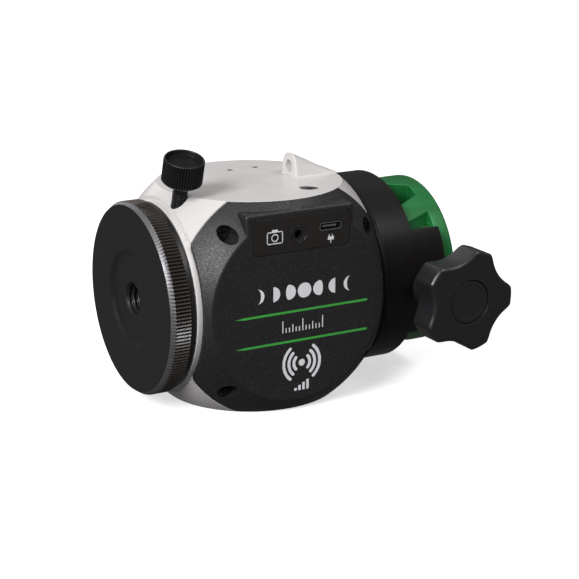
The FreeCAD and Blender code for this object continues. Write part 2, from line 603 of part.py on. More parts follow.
def motor():
    can = rod_y(6.0, 0.5, 12.5, MOTOR_X, WORM_Z)
    can = can.common(block(MOTOR_X - 6, MOTOR_X + 6, 0, 14, WORM_Z - 5, WORM_Z + 5))
    return merge([can, rod_y(1.8, 12.0, 13.2, MOTOR_X, WORM_Z)])


def worm_bracket():
    base_z = BASE_Z + WALL
    base = block(54.2, 63.8, -11, 11, base_z, base_z + 1.6)
    front = block(MOTOR_X - 6.4, 63.8, -11.0, -8.6, base_z, WORM_Z + 4.4)
    back = block(54.2, 63.8, 8.6, 11.0, base_z, WORM_Z + 4.4)
    bracket = merge([base, front, back])
    bracket = bracket.cut(rod_y(BUSH_R, -12, 12, WORM_X, WORM_Z))
    bracket = bracket.cut(rod_y(2.0, -12, -7, MOTOR_X, WORM_Z))
    for x, y in BRACKET_SCREWS:
        bracket = bracket.cut(rod_z(1.25, base_z - 1, base_z + 2, x, y))
    return bracket


def worm_bushes():
    bushes = []
    for side in (-1, 1):
        y0, y1 = sorted((side * 8.4, side * 11.0))
        bush = rod_y(BUSH_R, y0, y1, WORM_X, WORM_Z)
        bushes.append(bush.cut(rod_y(WORM_SHAFT_R + RUN_FIT, -15, 15, WORM_X, WORM_Z)))
    return bushes


def bracket_screws():
    top = BASE_Z + WALL + 1.6
    return [merge([cross_head(1.2, 0.5, (x, y, top), (x, y, 0)),
                   rod_z(1.1, BASE_Z + 1.0, top + 0.1, x, y)]) for x, y in BRACKET_SCREWS]


# ---- tripod adapter and thumb screw --------------------------------------

def tripod_adapter():
    groove_x = THUMB_X
    floor = SPIGOT_R - GROOVE_DEPTH
    profile = [
        (0.0, 0), (0.0, RECESS_FLOOR_R), (DISC_X0, RECESS_R), (DISC_X0, DISC_R - BEVEL_R),
        (DISC_X0 + BEVEL_X, DISC_R), (DISC_BAND_X, DISC_R), (DISC_BAND_X + 0.3, DISC_REAR_R),
        (DISC_X1 - 0.3, DISC_REAR_R), (DISC_X1, DISC_REAR_R - 0.3), (DISC_X1, SPIGOT_R),
        (groove_x - GROOVE_HALF - 0.8, SPIGOT_R), (groove_x - 0.8, floor),
        (groove_x + 0.8, floor), (groove_x + GROOVE_HALF + 0.8, SPIGOT_R),
        (SPIGOT_X1 - 0.6, SPIGOT_R), (SPIGOT_X1, SPIGOT_R - 0.6), (SPIGOT_X1, POCKET_R),
        (POCKET_X, POCKET_R), (POCKET_X, CORE_R), (THREAD_DEPTH + 2.5, CORE_R),
        (THREAD_DEPTH + 2.5, 0),
    ]
    adapter = turned_x(profile)
    return adapter.cut(rod_x(THREAD_R, -2, THREAD_DEPTH))


def thumb_screw():
    base = THUMB_TOP - THUMB_HEAD_H
    head = rod(THUMB_HEAD_R, thumb_point(base), thumb_point(THUMB_TOP))
    rims = [e for e in head.Edges if e.Length > 30 and e.Curve.TypeId == "Part::GeomCircle"]
    head = head.makeFillet(THUMB_FILLET, rims)
    dish = rod(THUMB_DISH_R, thumb_point(THUMB_TOP - THUMB_DISH_DEPTH), thumb_point(THUMB_TOP + 1))
    shank = rod(THUMB_SHANK_R, thumb_point(THUMB_TIP), thumb_point(base + 0.5))
    return merge([head.cut(dish), shank])


def thumb_collar():
    base = THUMB_TOP - THUMB_HEAD_H
    collar = rod(THUMB_COLLAR_R, thumb_point(base - THUMB_COLLAR_H), thumb_point(base))
    return collar.cut(rod(THUMB_SHANK_R, thumb_point(20), thumb_point(45)))


def thumb_pad():
    start, lean = V(*thumb_point(THUMB_PAD_END)), V(*thumb_point(1, 0))
    cone = Part.makeCone(THUMB_PAD_TIP_R, THUMB_PAD_R, 1.0, start, lean)
    rest = rod(THUMB_PAD_R, thumb_point(THUMB_PAD_END + 1.0), thumb_point(THUMB_TIP - 0.05))
    return merge([cone, rest])


# ---- platform, clamp and puck --------------------------------------------

def platform_screw_places():
    at = PLAT_SCREW_AT
    return [(y, z) for y in (-at, at) for z in (-at, at)]


def dove_half(x):
    return DOVE_HALF_BASE - (x - PUCK_X0) * DOVE_SLOPE


def platform():
    plate = turned_x([(PLAT_X0, 0), (PLAT_X0, PLAT_R - PLAT_BEVEL_R),
                      (PLAT_X0 + PLAT_BEVEL_X, PLAT_R),
                      (JAW_X - 0.4, PLAT_R), (JAW_X, PLAT_R - 0.4), (JAW_X, 0)])
    gap = FLANK_GAP
    channel = prism([(FLOOR_X, -JAW_Y, -40), (FLOOR_X, dove_half(FLOOR_X) + gap, -40),
                     (JAW_X + 1, dove_half(JAW_X + 1) + gap, -40), (JAW_X + 1, -JAW_Y, -40)],
                    (0, 0, 80))
    plate = plate.cut(channel).cut(rod_x(SEAT_R, PLAT_X0 - 1, SHAFT_X1))
    plate = plate.cut(rod_y(CLAMP_SCREW_R + RUN_FIT, -35, -20, CLAMP_X, 0))
    for z in (-GUIDE_Z, GUIDE_Z):
        plate = plate.cut(rod_y(SHOE_PIN_R + RUN_FIT, -27.6, -20, CLAMP_X, z))
    for y, z in platform_screw_places():
        plate = plate.cut(rod_x(PLAT_SCREW_R, 76, 90, y, z))
        plate = plate.cut(rod_x(PLAT_HEAD_R + 0.15, PLAT_HEAD_X, 90, y, z))
    return plate


def platform_screws():
    screws = []
    for y, z in platform_screw_places():
        head = rod_x(PLAT_HEAD_R, PLAT_HEAD_X, FLOOR_X - 0.2, y, z)
        hexagon = [(82.6, y + 1.4 * math.cos(math.radians(60 * k)),
                    z + 1.4 * math.sin(math.radians(60 * k))) for k in range(6)]
        head = head.cut(prism(hexagon, (3, 0, 0)))
        screws.append(merge([head, rod_x(PLAT_SCREW_R, 71.5, PLAT_HEAD_X + 0.3, y, z)]))
    return screws


def clamp_shoe():
    gap = FLANK_GAP
    x0, x1 = FLOOR_X + 0.2, JAW_X - 0.1
    shoe = prism([(x0, -SHOE_Y, -SHOE_HALF_Z), (x0, -dove_half(x0) - gap, -SHOE_HALF_Z),
                  (x1, -dove_half(x1) - gap, -SHOE_HALF_Z), (x1, -SHOE_Y, -SHOE_HALF_Z)],
                 (0, 0, 2 * SHOE_HALF_Z))
    shoe = shoe.cut(rod_y(2.2, -SHOE_Y - 1, -SHOE_Y + SHOE_PIN_DEPTH, CLAMP_X, 0))
    for z in (-GUIDE_Z, GUIDE_Z):
        shoe = shoe.cut(rod_y(SHOE_PIN_R, -SHOE_Y - 1, -SHOE_Y + SHOE_PIN_DEPTH, CLAMP_X, z))
    return shoe


def shoe_pins():
    return [rod_y(SHOE_PIN_R, -26.2, -SHOE_Y + SHOE_PIN_DEPTH, CLAMP_X, z)
            for z in (-GUIDE_Z, GUIDE_Z)]


def clamp_screw():
    tip = rod_y(2.1, -SHOE_Y - 0.3, -SHOE_Y + 1.6, CLAMP_X, 0)
    return merge([tip, rod_y(CLAMP_SCREW_R, CLAMP_SCREW_END, -SHOE_Y - 0.2, CLAMP_X, 0)])


def star_knob():
    star = rod_y(KNOB_R, -KNOB_Y1, -KNOB_Y0, CLAMP_X, 0)
    reach = SCALLOP_FLOOR_R + SCALLOP_R
    for k in range(KNOB_LOBES):
        angle = math.radians(KNOB_TURN + (k + 0.5) * 360 / KNOB_LOBES)
        x, z = CLAMP_X + reach * math.cos(angle), reach * math.sin(angle)
        star = star.cut(rod_y(SCALLOP_R, -KNOB_Y1 - 2, -KNOB_Y0 + 2, x, z))
    corners = [e for e in star.Edges if abs(e.tangentAt(e.FirstParameter).y) > 0.99
               and abs(e.Length - (KNOB_Y1 - KNOB_Y0)) < 0.01]
    star = star.makeFillet(LOBE_ROUND, corners)
    star = star.makeChamfer(KNOB_CHAMFER, [e for e in star.Edges
                                           if abs(e.CenterOfMass.y + KNOB_Y1) < 0.01])
    star = merge([star, rod_y(KNOB_HUB_R, -KNOB_Y0 - 1, -KNOB_HUB_Y, CLAMP_X, 0)])
    recess = rod_y(CAP_RECESS_R, -KNOB_Y1 - 1, -KNOB_Y1 + CAP_RECESS_DEPTH, CLAMP_X, 0)
    return star.cut(recess).cut(rod_y(CLAMP_SCREW_R, CLAMP_SCREW_END, -30, CLAMP_X, 0))


def knob_cap():
    top = -KNOB_Y1 + CAP_SINK
    cap = rod_y(CAP_R, top, -KNOB_Y1 + CAP_RECESS_DEPTH, CLAMP_X, 0)
    edge = [e for e in cap.Edges if abs(e.CenterOfMass.y - top) < 0.01]
    return cap.makeFillet(CAP_ROUND, edge[:1])


def mount_puck():
    disc = turned_x([(PUCK_X0, 0), (PUCK_X0, PUCK_R - 0.4), (PUCK_X0 + 0.4, PUCK_R),
                     (PUCK_X1 - 0.6, PUCK_R), (PUCK_X1, PUCK_R - 0.6), (PUCK_X1, 0)])
    top = PUCK_RIM_X - 0.4
    for side in (-1, 1):
        flank = [(PUCK_X0 - 1, side * dove_half(PUCK_X0 - 1), -40), (PUCK_X0 - 1, side * 40, -40),
                 (PUCK_RIM_X, side * 40, -40), (PUCK_RIM_X, side * dove_half(PUCK_RIM_X), -40)]
        disc = disc.cut(prism(flank, (0, 0, 80)))
        middle = side * PUCK_GROOVE_Y
        groove = [(PUCK_X0 - 1, middle - PUCK_GROOVE_MOUTH, -40),
                  (PUCK_X0 - 1, middle + PUCK_GROOVE_MOUTH, -40),
                  (top, middle + PUCK_GROOVE_FLOOR, -40), (top, middle - PUCK_GROOVE_FLOOR, -40)]
        disc = disc.cut(prism(groove, (0, 0, 80)))
    disc = disc.cut(rod_x(STUD_HEAD_R + 0.2, PUCK_X0 - 1, STUD_HEAD_X1))
    disc = disc.cut(rod_x(STUD_RELIEF_R, PUCK_X1 - STUD_RELIEF_DEPTH, PUCK_X1 + 1))
    return disc.cut(rod_x(STUD_SHANK_R, PUCK_X0 - 1, PUCK_X1 + 1))


def camera_stud():
    x0 = PUCK_X0 + 0.3
    socket = [(x0, STUD_SOCKET_R * math.cos(math.radians(60 * k)),
               STUD_SOCKET_R * math.sin(math.radians(60 * k))) for k in range(6)]
    stud = turned_x([(x0, 0), (x0, STUD_HEAD_R), (STUD_HEAD_X1, STUD_HEAD_R),
                     (STUD_HEAD_X1, STUD_SHANK_R), (PUCK_X1, STUD_SHANK_R), (PUCK_X1, STUD_R),
                     (STUD_X1 - STUD_CHAMFER, STUD_R), (STUD_X1, STUD_R - STUD_CHAMFER),
                     (STUD_X1, 0)])
    return stud.cut(prism(socket, (STUD_SOCKET_DEPTH, 0, 0)))


def bearing_retainer():
    return tube_x(REAR_BRG_R, RETAINER_R - 0.2, REAR_BRG_X1, REAR_X)


def main():
    os.makedirs("parts", exist_ok=True)
    save("main_body", main_body())
    save("port_cover", port_cover())
    save("battery_cover", battery_cover())
    save("battery_door", battery_door())
    save("port_panel", port_panel())
    save("port_cover_screws", *cover_screws(-1))
    save("battery_cover_screws", *cover_screws(1))
    save("top_screw", top_screw())
    save("main_board", main_board())
    save("board_chips", *board_chips())
    save("board_screws", *board_screws())
    save("wifi_module", wifi_module())
    save("port_board", port_board())
    save("board_nut", board_nut())
    save("snap_jack", snap_jack())
    save("usb_socket", usb_socket())
    save("switch_board", switch_board())
    save("power_switch", power_switch())
    save("power_button", power_button())
    save("status_led", status_led())
    save("battery_tray", battery_tray())
    save("battery_contacts", *battery_contacts())
    save("aa_cells", *aa_cells())
    sizes = {"front_bearing": (FRONT_BRG_X0, FRONT_BRG_X1, SHAFT_R, FRONT_BRG_R, 7.25, 1.2, 10, 0.85),
             "rear_bearing": (REAR_BRG_X0, REAR_BRG_X1, SEAT_R, REAR_BRG_R, 16.75, 1.1, 24, 0.7)}
    for name, size in sizes.items():
        outer_ring, inner_ring, cage, balls = bearing(*size)
        save(name + "_outer", outer_ring)
        save(name + "_inner", inner_ring)
        save(name + "_cage", cage)
        save(name + "_balls", *balls)
    save("bearing_retainer", bearing_retainer())
    save("polar_shaft", polar_shaft())
    save("shaft_nut", shaft_nut())
    save("worm_wheel", worm_wheel())
    save("worm", worm())
    save("worm_gear", spur(WORM_X, 180.0 / SPUR_TEETH))
    save("motor_pinion", motor_pinion())
    save("motor_gearbox", motor_gearbox())
    save("motor", motor())
    save("worm_bracket", worm_bracket())
    save("worm_bushes", *worm_bushes())
    save("bracket_screws", *bracket_screws())
    save("tripod_adapter", tripod_adapter())
    save("thumb_screw", thumb_screw())
    save("thumb_collar", thumb_collar())
    save("thumb_pad", thumb_pad())
    save("platform", platform())
    save("platform_screws", *platform_screws())
    save("clamp_shoe", clamp_shoe())
    save("shoe_pins", *shoe_pins())
    save("clamp_screw", clamp_screw())
    save("star_knob", star_knob())
    save("knob_cap", knob_cap())
    save("mount_puck", mount_puck())
    save("camera_stud", camera_stud())


main()
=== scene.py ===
import json
import math

import bmesh
import bpy
from mathutils import Matrix, Vector


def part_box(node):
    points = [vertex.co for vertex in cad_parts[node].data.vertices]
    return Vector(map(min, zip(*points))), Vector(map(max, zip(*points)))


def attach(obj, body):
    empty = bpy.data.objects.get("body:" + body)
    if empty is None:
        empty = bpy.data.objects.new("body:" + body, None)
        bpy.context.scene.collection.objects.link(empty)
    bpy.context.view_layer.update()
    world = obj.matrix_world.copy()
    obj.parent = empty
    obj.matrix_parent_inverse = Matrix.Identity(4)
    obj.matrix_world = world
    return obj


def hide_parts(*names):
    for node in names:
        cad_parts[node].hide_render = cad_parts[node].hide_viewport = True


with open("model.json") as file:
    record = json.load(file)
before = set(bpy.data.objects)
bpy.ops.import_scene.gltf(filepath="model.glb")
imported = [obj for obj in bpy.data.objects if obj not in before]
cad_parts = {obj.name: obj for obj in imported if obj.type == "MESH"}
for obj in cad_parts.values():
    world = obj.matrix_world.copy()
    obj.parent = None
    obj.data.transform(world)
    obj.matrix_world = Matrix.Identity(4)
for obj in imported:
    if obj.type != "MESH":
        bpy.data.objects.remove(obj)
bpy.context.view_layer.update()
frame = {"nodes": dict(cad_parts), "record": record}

# The star tracker mount in the CAD's frame: +X runs along the polar axis to the turning
# platform, -Y is the port side and +Z is up. Lengths below are millimetres, and mesh_of()
# turns them into metres.
MM = 0.001
NODES = frame["nodes"]


def low(node):
    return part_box(node)[0] / MM


def high(node):
    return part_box(node)[1] / MM


# Housing: a ball cut flat on six sides, with side covers that meet it at the seams.
SIDE_Y = high("battery_cover").y
BASE_Z, TOP_Z = low("main_body").z, high("port_cover").z + 0.5
FRONT_X, REAR_X = low("port_cover").x, high("port_cover").x
BALL_X, BALL_R = 40.4, 43.6
SEAM_Y, SEAM_GAP = 21.85, 0.08
LID_T, LID_GAP = 0.12, 0.04
COLLAR_X, COLLAR_R = low("main_body").x, 29.3
COVER_SCREWS = [(18.1, 24.2), (18.0, -24.5), (66.2, 20.8), (66.2, -21.0)]
SCREW_SEAT_Y, SCREW_BORE_R, BORE_END_Y = 23.3, 2.55, SIDE_Y + 2
SOCKET_X0, SOCKET_X1 = 5.0, 19.5
SEAT_X0, SEAT_X1, SEAT_R = 64.0, 72.0, 18.5
TOP_SCREW, TOP_SCREW_BORE_R = (51.4, -18.1), 3.0
TOP_HOLES, TOP_HOLE_R = [(41.6, 15.1), (50.7, 15.1)], 1.0
ABOVE_TOP = TOP_Z + 0.25

# Sighting fin on the top flat: its two ends, its height at each and its hole.
FIN_X0, FIN_X1, FIN_HOLE_Z = 54.5, 69.9, 35.5
FIN_HEIGHT0, FIN_HEIGHT1 = high("main_body").z - TOP_Z, 0.12

# Pad over the ports, the release jack and the USB opening.
PAD_X0, PAD_X1, PAD_Z0, PAD_Z1, PAD_ROUND, PAD_EDGE = 22.3, 59.0, 9.0, 30.2, 1.2, 0.9
PORT_BACK_Y, PANEL_BACK_Y = -27.0, -SIDE_Y + 1
JACK_X, JACK_Z, JACK_R = 39.9, 22.6, 2.75
USB_X0, USB_X1, USB_Z0, USB_Z1, USB_ROUND = 47.0, 55.1, 22.15, 25.25, 1.2

# Tripod adapter: a knurled disc in front of a spigot, with a 3/8 inch thread.
SPIGOT_R, SPIGOT_X1 = 20.5, high("tripod_adapter").x
SOCKET_R = SPIGOT_R + 0.05
DISC_X0, DISC_R = low("tripod_adapter").x, high("tripod_adapter").z
DISC_BAND_X, DISC_REAR_R, DISC_X1 = 5.4, 29.1, 7.4
BEVEL_X, BEVEL_R, DISC_TEETH, KNURL_DEPTH = 1.5, 1.0, 168, 0.6
THREAD_MINOR_R, THREAD_MAJOR_R, THREAD_PITCH, THREAD_DEPTH = 3.97, 4.76, 1.5875, 14.0

# Thumb screw, along its own tilted axis from the polar axis outwards.
THUMB_X, THUMB_TILT, THUMB_TEETH = 11.6, math.radians(17), 46
THUMB_TOP, THUMB_HEAD_H, THUMB_HEAD_R, THUMB_SHANK_R = 47.0, 8.2, 6.2, 2.3
THUMB_TIP, THUMB_PITCH, TOOTH_DEPTH = 22.6, 0.8, 0.45

# Clamp knob, whose axis runs along Y.
KNOB_X, KNOB_R, KNOB_Y0, KNOB_Y1 = 87.9, 15.9, -43.4, low("star_knob").y
KNOB_CAP_R = 6.9
HUB_START, HUB_END, HUB_R = 32.2, 43.6, 7.2

# Marks printed on the port side, left to right; a moon's phase is as moon() says.
RULE_X0, RULE_X1, RULE_HALF, RULE_HEIGHTS = 18.5, 64.5, 0.36, (-1.16, -10.5)
MOON_X, MOON_Z, MOON_R, MOON_STEP = 26.0, 5.0, 2.35, 5.35
MOON_PHASES = (0.75, 0.5, 0.28, 0, -0.28, -0.5, -0.75)
SCALE_X, SCALE_Z, TICK_STEP, TICK_HALF, TICKS = 34.6, -7.6, 1.15, 0.17, 13
WIRELESS_X, WIRELESS_Z, WIRELESS_WIDTH = 41.2, -17.8, 1.0

# Sky: its grey near and below the horizon, and overhead.
SKY_LOW, SKY_HIGH = 0.10, 0.55


# ---- materials -----------------------------------------------------------

def node_material(name):
    """A material with its node tree and its shader."""
    material = bpy.data.materials.new(name)
    material.use_nodes = True
    tree = material.node_tree
    return material, tree, tree.nodes["Principled BSDF"]


def noise(tree, scale, detail=4.0, stretch=(1, 1, 1)):
    """Noise in the object's own space; scale is features per millimetre."""
    coords = tree.nodes.new("ShaderNodeTexCoord")
    mapping = tree.nodes.new("ShaderNodeMapping")
    mapping.inputs["Scale"].default_value = stretch
    texture = tree.nodes.new("ShaderNodeTexNoise")
    texture.inputs["Scale"].default_value = scale / MM
    texture.inputs["Detail"].default_value = detail
    tree.links.new(coords.outputs["Object"], mapping.inputs["Vector"])
    tree.links.new(mapping.outputs["Vector"], texture.inputs["Vector"])
    return texture.outputs["Fac"]


def ramp(tree, value, start, end, low_colour, high_colour):
    """Colour ramp from one grey or colour to another."""
    node = tree.nodes.new("ShaderNodeValToRGB")
    for element, place, colour in zip(node.color_ramp.elements, (start, end),
                                      (low_colour, high_colour)):
        element.position = place
        element.color = (*colour, 1) if isinstance(colour, tuple) else (colour,) * 3 + (1,)
    tree.links.new(value, node.inputs["Fac"])
    return node.outputs["Color"]


def blend_colour(tree, share, under, over):
    """The colour over laid on the colour under, by share."""
    mix = tree.nodes.new("ShaderNodeMix")
    mix.data_type = "RGBA"
    tree.links.new(share, mix.inputs["Factor"])
    tree.links.new(under, mix.inputs["A"])
    mix.inputs["B"].default_value = (*over, 1)
    return mix.outputs["Result"]


def bump(tree, shader, height, depth):
    """Bump of the given depth in millimetres."""
    node = tree.nodes.new("ShaderNodeBump")
    node.inputs["Strength"].default_value = 1.0
    node.inputs["Distance"].default_value = depth * MM
    tree.links.new(height, node.inputs["Height"])
    tree.links.new(node.outputs["Normal"], shader.inputs["Normal"])


def surface(name, colour, roughness, metallic=0.0, patch=0.08, tint=0.06, spread=0.15,
            grain=5.0, grain_depth=0.004, stretch=(1, 1, 1), coat=0.0, specular=0.5, edge_highlight=None):
    """Finish with slow tint change, patchy roughness, a fine grain and, where edge_highlight is
    given, convex edges painted paler as a highlight.
    """
    material, tree, shader = node_material(name)
    base = ramp(tree, noise(tree, patch), 0.3, 0.7,
                tuple(c * (1 - tint) for c in colour), tuple(c * (1 + tint) for c in colour))
    # Painted highlight: by Pointiness, convex edges and crests take the paler colour, while
    # hollows keep the darker base.
    if edge_highlight is not None:
        edge = tree.nodes.new("ShaderNodeNewGeometry").outputs["Pointiness"]
        base = blend_colour(tree, ramp(tree, edge, 0.52, 0.62, 0.0, 1.0), base, edge_highlight)
    tree.links.new(base, shader.inputs["Base Color"])
    rough = ramp(tree, noise(tree, patch * 5), 0.3, 0.7,
                 roughness * (1 - spread), min(1.0, roughness * (1 + spread)))
    tree.links.new(rough, shader.inputs["Roughness"])
    bump(tree, shader, noise(tree, grain, 3.0, stretch), grain_depth)
    shader.inputs["Metallic"].default_value = metallic
    shader.inputs["Coat Weight"].default_value = coat
    shader.inputs["Coat Roughness"].default_value = 0.15
    shader.inputs["Specular IOR Level"].default_value = specular
    return material


def moulded_black():
    """Dark shell plastic with a spark-eroded grain that glitters a little in the light."""
    material, tree, shader = node_material("black_shell")
    grain = noise(tree, 2.4, 1.0)
    base = ramp(tree, noise(tree, 0.05), 0.3, 0.7, (0.008, 0.008, 0.0085), (0.010, 0.010, 0.0105))
    speck = ramp(tree, grain, 0.50, 0.66, 0.0, 0.45)
    base = blend_colour(tree, speck, base, (0.06, 0.06, 0.07))
    tree.links.new(base, shader.inputs["Base Color"])
    tree.links.new(ramp(tree, grain, 0.35, 0.7, 0.58, 0.42), shader.inputs["Roughness"])
    shader.inputs["Specular IOR Level"].default_value = 0.65
    bump(tree, shader, grain, 0.07)
    return material


MATERIALS = {
    "white_paint": surface("white_paint", (0.72, 0.695, 0.685), 0.36, patch=0.03, tint=0.012,
                           grain=0.7, grain_depth=0.006, specular=0.4),
    "black_shell": moulded_black(),
    "panel_black": surface("panel_black", (0.021, 0.018, 0.016), 0.33, grain=9.0),
    "black_anodised": surface("black_anodised", (0.014, 0.0135, 0.0135), 0.36, grain=7.0,
                              grain_depth=0.003),
    "platform_black": surface("platform_black", (0.0075, 0.0065, 0.0062), 0.33, grain=7.0,
                              grain_depth=0.003, specular=0.22),
    # Painted highlight: the disc's front bevel gets a lighter grey metal than its black
    # anodising.
    "painted_bevel_highlight": surface("painted_bevel_highlight", (0.19, 0.185, 0.195), 0.45, metallic=0.6, grain=7.0),
    # Knurl teeth: their crests are painted paler as a highlight along each tooth.
    "knurl_black": surface("knurl_black", (0.012, 0.010, 0.009), 0.27, grain=7.0, specular=0.8,
                           edge_highlight=(0.13, 0.105, 0.09)),
    "dish_black": surface("dish_black", (0.006, 0.006, 0.0055), 0.5, grain=3.0, specular=0.2),
    "knob_black": surface("knob_black", (0.015, 0.015, 0.017), 0.36, grain=2.0,
                          grain_depth=0.012, patch=0.15, specular=0.6),
    # Green anodising: its edges are painted paler as a highlight.
    "green_anodised": surface("green_anodised", (0.010, 0.165, 0.035), 0.42, metallic=0.25,
                              grain=7.0, grain_depth=0.003, edge_highlight=(0.05, 0.42, 0.14)),
    "steel": surface("steel", (0.50, 0.50, 0.50), 0.32, metallic=1.0),
    "black_screw": surface("black_screw", (0.02, 0.02, 0.021), 0.3, metallic=0.4),
    "zinc_screw": surface("zinc_screw", (0.6, 0.6, 0.58), 0.35, metallic=1.0),
    "nylon": surface("nylon", (0.75, 0.74, 0.69), 0.5, grain=2.0),
    "machined_aluminium": surface("machined_aluminium", (0.66, 0.66, 0.67), 0.32, metallic=1.0,
                                  grain=3.0, stretch=(0.1, 1, 1)),
    "bronze": surface("bronze", (0.55, 0.36, 0.15), 0.35, metallic=1.0),
    "gear_brass": surface("gear_brass", (0.68, 0.52, 0.22), 0.3, metallic=1.0),
    "bearing_steel": surface("bearing_steel", (0.7, 0.7, 0.71), 0.15, metallic=1.0),
    "motor_case": surface("motor_case", (0.58, 0.58, 0.58), 0.35, metallic=1.0),
    "circuit_green": surface("circuit_green", (0.015, 0.13, 0.05), 0.35, grain=1.0),
    "chip_black": surface("chip_black", (0.012, 0.012, 0.012), 0.45),
    "plated_can": surface("plated_can", (0.62, 0.62, 0.62), 0.3, metallic=1.0),
    "led_lens": surface("led_lens", (0.45, 0.03, 0.02), 0.2, grain=1.0, coat=1.0),
    "tray_black": surface("tray_black", (0.02, 0.02, 0.02), 0.5, grain=3.0, grain_depth=0.02),
    "cell_wrap": surface("cell_wrap", (0.06, 0.08, 0.2), 0.3, coat=0.5),
    "button_black": surface("button_black", (0.015, 0.015, 0.015), 0.28),
    "white_ink": surface("white_ink", (0.93, 0.93, 0.97), 0.45, grain=6.0),
    "green_ink": surface("green_ink", (0.06, 0.45, 0.07), 0.45, grain=6.0),
}


# ---- mesh helpers --------------------------------------------------------

def mesh_of(name, points, faces):
    """Mesh in metres from points in millimetres, its faces turned outwards."""
    mesh = bpy.data.meshes.new(name)
    mesh.from_pydata([Vector(p) * MM for p in points], [], faces)
    work = bmesh.new()
    work.from_mesh(mesh)
    bmesh.ops.recalc_face_normals(work, faces=work.faces)
    work.to_mesh(mesh)
    work.free()
    return mesh


def linked(name, data):
    """Object in the scene for a mesh, a light or a camera."""
    obj = bpy.data.objects.new(name, data)
    bpy.context.scene.collection.objects.link(obj)
    return obj


def piece(name, points, faces, slot, body, replaces=(), angle=35, finish=None):
    """A shown piece from points in millimetres, riding on a body."""
    obj = linked(name, mesh_of(name, points, faces))
    dress(obj, slot, body, replaces, angle, finish)
    return obj


def dress(obj, slot, body, replaces=(), angle=35, finish=None):
    """Shading, material and body of a piece."""
    mesh = obj.data
    mesh.materials.clear()
    mesh.materials.append(MATERIALS[finish or slot])
    mesh.polygons.foreach_set("use_smooth", [True] * len(mesh.polygons))
    mesh.set_sharp_from_angle(angle=math.radians(angle))
    even = obj.modifiers.new("even_normals", "WEIGHTED_NORMAL")
    even.keep_sharp = True
    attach(obj, body)
    if replaces:
        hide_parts(*replaces)


def paint(obj, finish, chosen):
    """Give the faces picked by chosen(centre in mm, distance from the X axis) a finish."""
    index = len(obj.data.materials)
    obj.data.materials.append(MATERIALS[finish])
    for face in obj.data.polygons:
        centre = face.center / MM
        if chosen(centre, math.hypot(centre.y, centre.z)):
            face.material_index = index


def along(origin, direction):
    """Function that places (distance, radius, angle) about an axis."""
    origin, direction = Vector(origin), Vector(direction).normalized()
    first = direction.orthogonal().normalized()
    if abs(direction.x) > 0.9:
        first = Vector((0, 1, 0))
    second = direction.cross(first)

    def at(distance, radius, angle):
        return (origin + direction * distance
                + (first * math.cos(angle) + second * math.sin(angle)) * radius)
    return at


X_AXIS = along((0, 0, 0), (1, 0, 0))
THUMB_UP = Vector((0, -math.sin(THUMB_TILT), math.cos(THUMB_TILT)))
THUMB_AXIS = along((THUMB_X, 0, 0), THUMB_UP)


def round_corners(path, radius, steps=4):
    """Open path of (a, b) points with its inner corners rounded; a radius per corner or one."""
    out = [Vector(path[0])]
    for i in range(1, len(path) - 1):
        before, corner, after = (Vector(p) for p in path[i - 1:i + 2])
        r = radius[i - 1] if isinstance(radius, list) else radius
        into, away = (corner - before).normalized(), (after - corner).normalized()
        turn = into.angle(away, 0)
        if r <= 0 or turn < 0.02:
            out.append(corner)
            continue
        reach = min(r * math.tan(turn / 2), (corner - before).length * 0.45,
                    (after - corner).length * 0.45)
        start, end = corner - into * reach, corner + away * reach
        for k in range(steps + 1):
            t = k / steps
            out.append(start.lerp(corner, t).lerp(corner.lerp(end, t), t))
    out.append(Vector(path[-1]))
    return [tuple(p) for p in out]


def rings_to_faces(rings):
    """Quads and end triangles between rings of vertex numbers; a ring of one is a pole."""
    faces = []
    for a, b in zip(rings, rings[1:]):
        count = max(len(a), len(b))
        for j in range(count):
            k = (j + 1) % count
            if len(a) == 1:
                faces.append((a[0], b[j], b[k]))
            elif len(b) == 1:
                faces.append((a[j], a[k], b[0]))
            else:
                faces.append((a[j], a[k], b[k], b[j]))
    return faces


def lathe(profile, at, segments, teeth=0):
    """Turned shape from (distance, radius) points. A third value cuts straight knurl
    teeth of that depth into its ring."""
    points, rings = [], []
    for distance, radius, *cut in profile:
        if radius < 1e-6:
            rings.append([len(points)])
            points.append(at(distance, 0, 0))
            continue
        ring = []
        for j in range(segments):
            share = j * teeth / segments % 1 if cut else 0.0
            depth = cut[0] * (1 - abs(2 * share - 1)) if cut else 0.0
            ring.append(len(points))
            points.append(at(distance, radius - depth, 2 * math.pi * j / segments))
        rings.append(ring)
    return points, rings_to_faces(rings)


def helix_wall(at, start, end, root, crest, pitch, segments=48, per_turn=8):
    """Wall of a thread as a grid of rings, with flattened crests and roots."""
    points, rings = [], []
    count = int((end - start) / pitch * per_turn)
    for i in range(count + 1):
        distance = start + (end - start) * i / count
        fade = min(1.0, (distance - start) / pitch, (end - distance) / pitch)
        ring = []
        for j in range(segments):
            phase = (distance / pitch - j / segments) % 1
            wave = min(1.0, max(0.0, 2.5 * (1 - abs(2 * phase - 1)) - 0.75))
            ring.append(len(points))
            points.append(at(distance, root + (crest - root) * wave * fade,
                             2 * math.pi * j / segments))
        rings.append(ring)
    return points, rings_to_faces(rings)


def join(*shapes):
    """Several (points, faces) as one."""
    points, faces = [], []
    for more_points, more_faces in shapes:
        start = len(points)
        points += more_points
        faces += [tuple(start + i for i in face) for face in more_faces]
    return points, faces


def outline_box(x0, x1, z0, z1, corner, steps=6):
    """Rounded rectangle in X and Z, as a closed list of points."""
    points = []
    for cx, cz, turn in ((x1 - corner, z1 - corner, 0), (x0 + corner, z1 - corner, 90),
                         (x0 + corner, z0 + corner, 180), (x1 - corner, z0 + corner, 270)):
        for k in range(steps + 1):
            angle = math.radians(turn + 90 * k / steps)
            points.append((cx + corner * math.cos(angle), cz + corner * math.sin(angle)))
    return points


